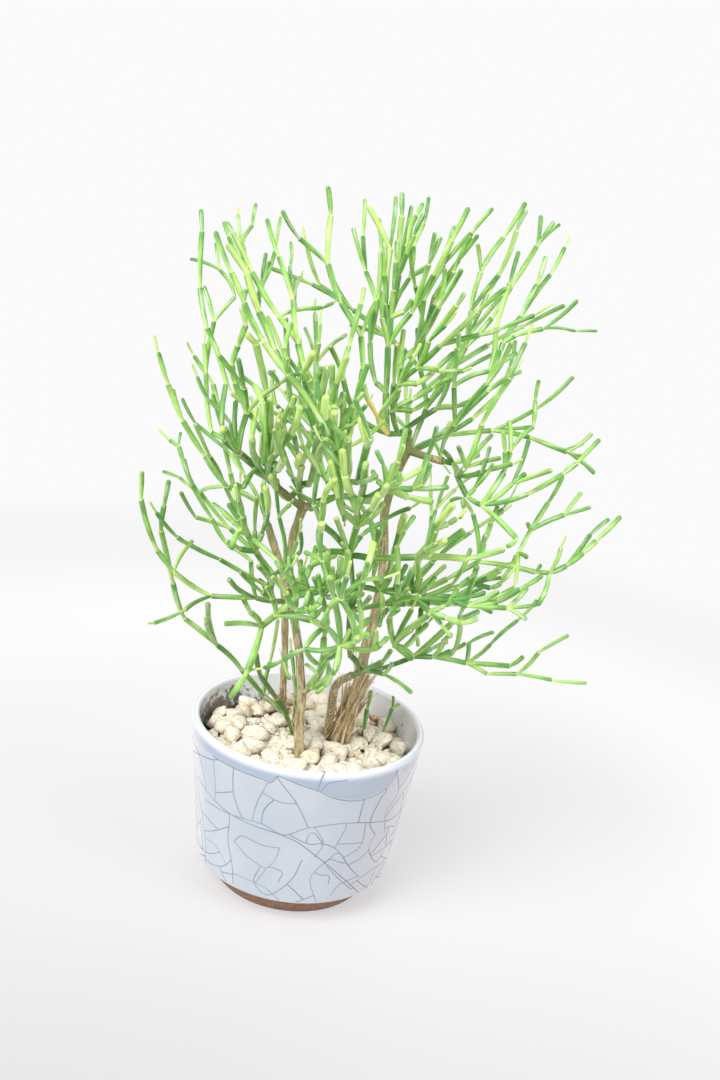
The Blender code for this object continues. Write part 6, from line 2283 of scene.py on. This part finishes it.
def glaze_material():
    n = Nodes("crackle_glaze")
    coordinates = n.add("ShaderNodeTexCoord").outputs["Object"]
    axes = n.add("ShaderNodeSeparateXYZ", {"Vector": coordinates})
    x, y, z = [axes.outputs[name] for name in "XYZ"]
    radius = n.math("SQRT", n.plus(n.times(x, x), n.times(y, y)))
    cloud = n.noise(coordinates, 20, 2)
    dirt = n.noise(coordinates, 260, 5, 0.72)

    over = n.math("SUBTRACT", z, n.attribute("scallop", "Fac"))
    band = n.times(n.ramp(over, -0.6 * MM, 1.2 * MM), n.ramp(cloud, 0.3, 0.6, 0.45, 1.0))
    slope = (RIM_RADIUS - WALL - inner_radius(LOW_WALL)) / (POT_HEIGHT - WALL / 2 - LOW_WALL)
    wall = n.plus(n.times(z, slope), inner_radius(LOW_WALL) - LOW_WALL * slope + WALL / 2)
    inside = n.math("LESS_THAN", radius, wall)

    side = n.ramp(x, -10 * MM, -52 * MM, -0.02, 0.22)
    low = n.ramp(z, 88 * MM, 78 * MM, 0.0, 0.12)
    stain = n.times(inside, n.ramp(n.plus(dirt, n.plus(side, low)), 0.72, 0.8))
    stain = n.times(stain, n.ramp(z, 89 * MM, 85 * MM))
    crumbs = n.plus(dirt, n.ramp(x, 26 * MM, 46 * MM, -0.04, 0.1))
    crumbs = n.times(inside, n.ramp(crumbs, 0.7, 0.76, 0.0, 0.7))
    crumbs = n.times(crumbs, n.ramp(z, 86 * MM, 82 * MM))
    # Painted sheen: the outside pales toward its grazing edges, standing in for the reflection of the
    # white surroundings
    edge = n.times(n.ramp(n.facing(0.5), 0.55, 0.95, 0.0, 0.7), n.math("SUBTRACT", 1.0, inside))

    bare = n.ramp(z, 12.35 * MM, 12.1 * MM)
    earth = n.layers(
        CLAY,
        (n.ramp(n.noise(coordinates, 300, 5, 0.7), 0.35, 0.7), CLAY_LIGHT),
        (n.ramp(z, 10.4 * MM, 12.0 * MM), CLAY_EDGE),
    )
    colour = n.layers(
        GLAZE_BLUE,
        (n.ramp(cloud, 0.3, 0.75), GLAZE_PALE),
        # Warmer and lighter toward the right side: partly a pink tint, partly painted light where the
        # lamps leave that side in shade
        (n.ramp(x, 18 * MM, 52 * MM, 0.0, 0.6), GLAZE_WARM_PAINTED_LIGHT),
        (n.times(band, 0.75), GLAZE_BAND),
        # Paler over the lip's top: partly the glaze's own colour, partly a painted highlight along the
        # lip
        (n.ramp(z, 85.4 * MM, 88.4 * MM), GLAZE_LIP_AND_HIGHLIGHT),
        (inside, GLAZE_WHITE),
        (n.times(stain, 0.85), SOIL_STAIN),
        (crumbs, WALL_CRUMBS),
        (edge, GLAZE_EDGE_SHEEN),
        (bare, earth),
    )
    roughness = n.ramp(bare, 0.0, 1.0, 0.1, 0.85, smooth=False)
    ripple = n.noise(n.place((1, 1, 3)), 38, 2)
    bump = n.plus(n.times(ripple, 0.3), n.times(bare, n.times(dirt, 0.3)))
    return n.finish(
        colour, roughness, bump=bump, strength=0.3, distance=0.0012, Specular_IOR_Level=0.5,
    )


def crack_material():
    n = Nodes("glaze_cracks")
    patch = n.noise(n.place(), 70, 2)
    fade = n.ramp(n.marks()[0], 0.0, 1.0, 0.7, 1.0)
    colour = n.mix(n.times(fade, n.ramp(patch, 0.3, 0.6, 0.7, 1.0)), GLAZE_BLUE, CRACK_BLUE)
    return n.finish(colour, n.ramp(patch, 0.2, 0.8, 0.12, 0.25), Specular_IOR_Level=0.5)


# Stage, light and camera

FLOOR_RADIUS = 60.0
FLOOR_DROP = 0.5 * MM
FLOOR_WHITE = 0.285
# How brightly the floor glows at the front and nearer the pot: painted light that lightens the shadows
# on it
FLOOR_GLOW_NEAR = (0.35, 0.34, 0.36)
FLOOR_GLOW_MIDDLE = (0.54, 0.54, 0.55)
BACKDROP = (0.962, 0.962, 0.974)
WORLD_COLOUR = (0.97, 0.972, 0.98)
WORLD_LIGHT = 0.36
SUN_LIGHT = 3.15
SUN_COLOUR = (1.0, 0.985, 0.96)
SUN_SPREAD = math.radians(40)
SUN_FROM = (-0.6, -0.75, 1.0)
# Area lights: name, place, breadth in metres, watts and colour
LAMPS_AIM = Vector((0.01, 0, 0.2))
LAMPS = [
    ("key", (-0.75, -0.9, 1.25), 0.6, 5, SUN_COLOUR),
    ("rim", (0.3, 1.2, 0.9), 0.9, 2.5, (1.0, 1.0, 1.0)),
    ("fill", (0.85, -0.5, 0.9), 0.8, 8, (1.0, 0.985, 0.985)),
]
PICTURE_HEIGHT = 1080
SENSOR_WIDTH = 36


def make_stage():
    bpy.ops.mesh.primitive_circle_add(
        vertices=96, radius=FLOOR_RADIUS, fill_type="NGON", location=(0, 0, -FLOOR_DROP),
    )
    floor = bpy.context.object
    floor.name = "floor"
    n = Nodes("floor_white")
    place = n.place()
    # The floor glows, graded from front to back and toward the backdrop's colour far off: painted
    # light that lightens the shadows cast on it
    away = n.add("ShaderNodeVectorMath", {0: place}, operation="LENGTH").outputs["Value"]
    depth = n.add("ShaderNodeSeparateXYZ", {"Vector": place}).outputs["Y"]
    far = n.ramp(away, 0.2, 0.7)
    near = n.mix(n.ramp(depth, -0.3, 0.1), FLOOR_GLOW_NEAR, FLOOR_GLOW_MIDDLE)
    n.put(n.shader.inputs["Emission Color"], n.mix(far, near, BACKDROP))
    white = n.times(n.ramp(far, 1.0, 0.0), FLOOR_WHITE)
    floor.data.materials.append(n.finish(white, 0.9, Specular_IOR_Level=0.0, Emission_Strength=1.0))


def make_light():
    world = bpy.data.worlds.new("studio")
    world.use_nodes = True
    tree = world.node_tree
    light = tree.nodes["Background"]
    light.inputs["Color"].default_value = (*WORLD_COLOUR, 1)
    light.inputs["Strength"].default_value = WORLD_LIGHT
    backdrop = tree.nodes.new("ShaderNodeBackground")
    backdrop.inputs["Color"].default_value = (*BACKDROP, 1)
    path = tree.nodes.new("ShaderNodeLightPath")
    either = tree.nodes.new("ShaderNodeMixShader")
    tree.links.new(path.outputs["Is Camera Ray"], either.inputs["Fac"])
    tree.links.new(light.outputs["Background"], either.inputs[1])
    tree.links.new(backdrop.outputs["Background"], either.inputs[2])
    tree.links.new(either.outputs["Shader"], tree.nodes["World Output"].inputs["Surface"])
    bpy.context.scene.world = world
    data = bpy.data.lights.new("sun", "SUN")
    data.energy = SUN_LIGHT
    data.angle = SUN_SPREAD
    data.color = SUN_COLOUR
    linked("sun", data).rotation_euler = Vector(SUN_FROM).to_track_quat("Z", "Y").to_euler()
    for name, place, breadth, power, colour in LAMPS:
        data = bpy.data.lights.new(name, "AREA")
        data.shape = "DISK"
        data.size = breadth
        data.energy = power
        data.color = colour
        lamp = linked(name, data)
        lamp.location = place
        lamp.rotation_euler = (LAMPS_AIM - Vector(place)).to_track_quat("-Z", "Y").to_euler()
    bpy.context.scene.view_settings.view_transform = "Standard"


def make_camera():
    data = bpy.data.cameras.new("camera")
    data.sensor_width = SENSOR_WIDTH
    data.lens = FOCAL_PIXELS / PICTURE_HEIGHT * data.sensor_width
    camera = linked("camera", data)
    turn = Matrix((RIGHT, UP, -AHEAD)).transposed()
    camera.matrix_world = Matrix.Translation(EYE) @ turn.to_4x4()
    bpy.context.scene.camera = camera


def build():
    stems = woody_stems()
    plant = Plant()
    add_sprays(plant, stems)
    seedlings(plant)
    settle(plant, stems)
    make_back(plant, stems)
    make_crowd(plant, stems)
    room = Room(plant, stems)
    add_traced(plant, room, LOW_TWIGS + FINGERS)
    for row in SIDE_TWIGS:
        beside(plant, room, *row)
    add_fine_twigs(plant, room)

    make_sprays(plant, green_material())
    make_stems(stems, bark_material())
    make_stones(plant, stems, stone_material())
    make_fine_pot(glaze_material())
    make_cracks(crack_material())
    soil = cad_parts["soil"]
    soil.data.materials.clear()
    soil.data.materials.append(soil_material())
    make_stage()
    make_light()
    make_camera()


build()
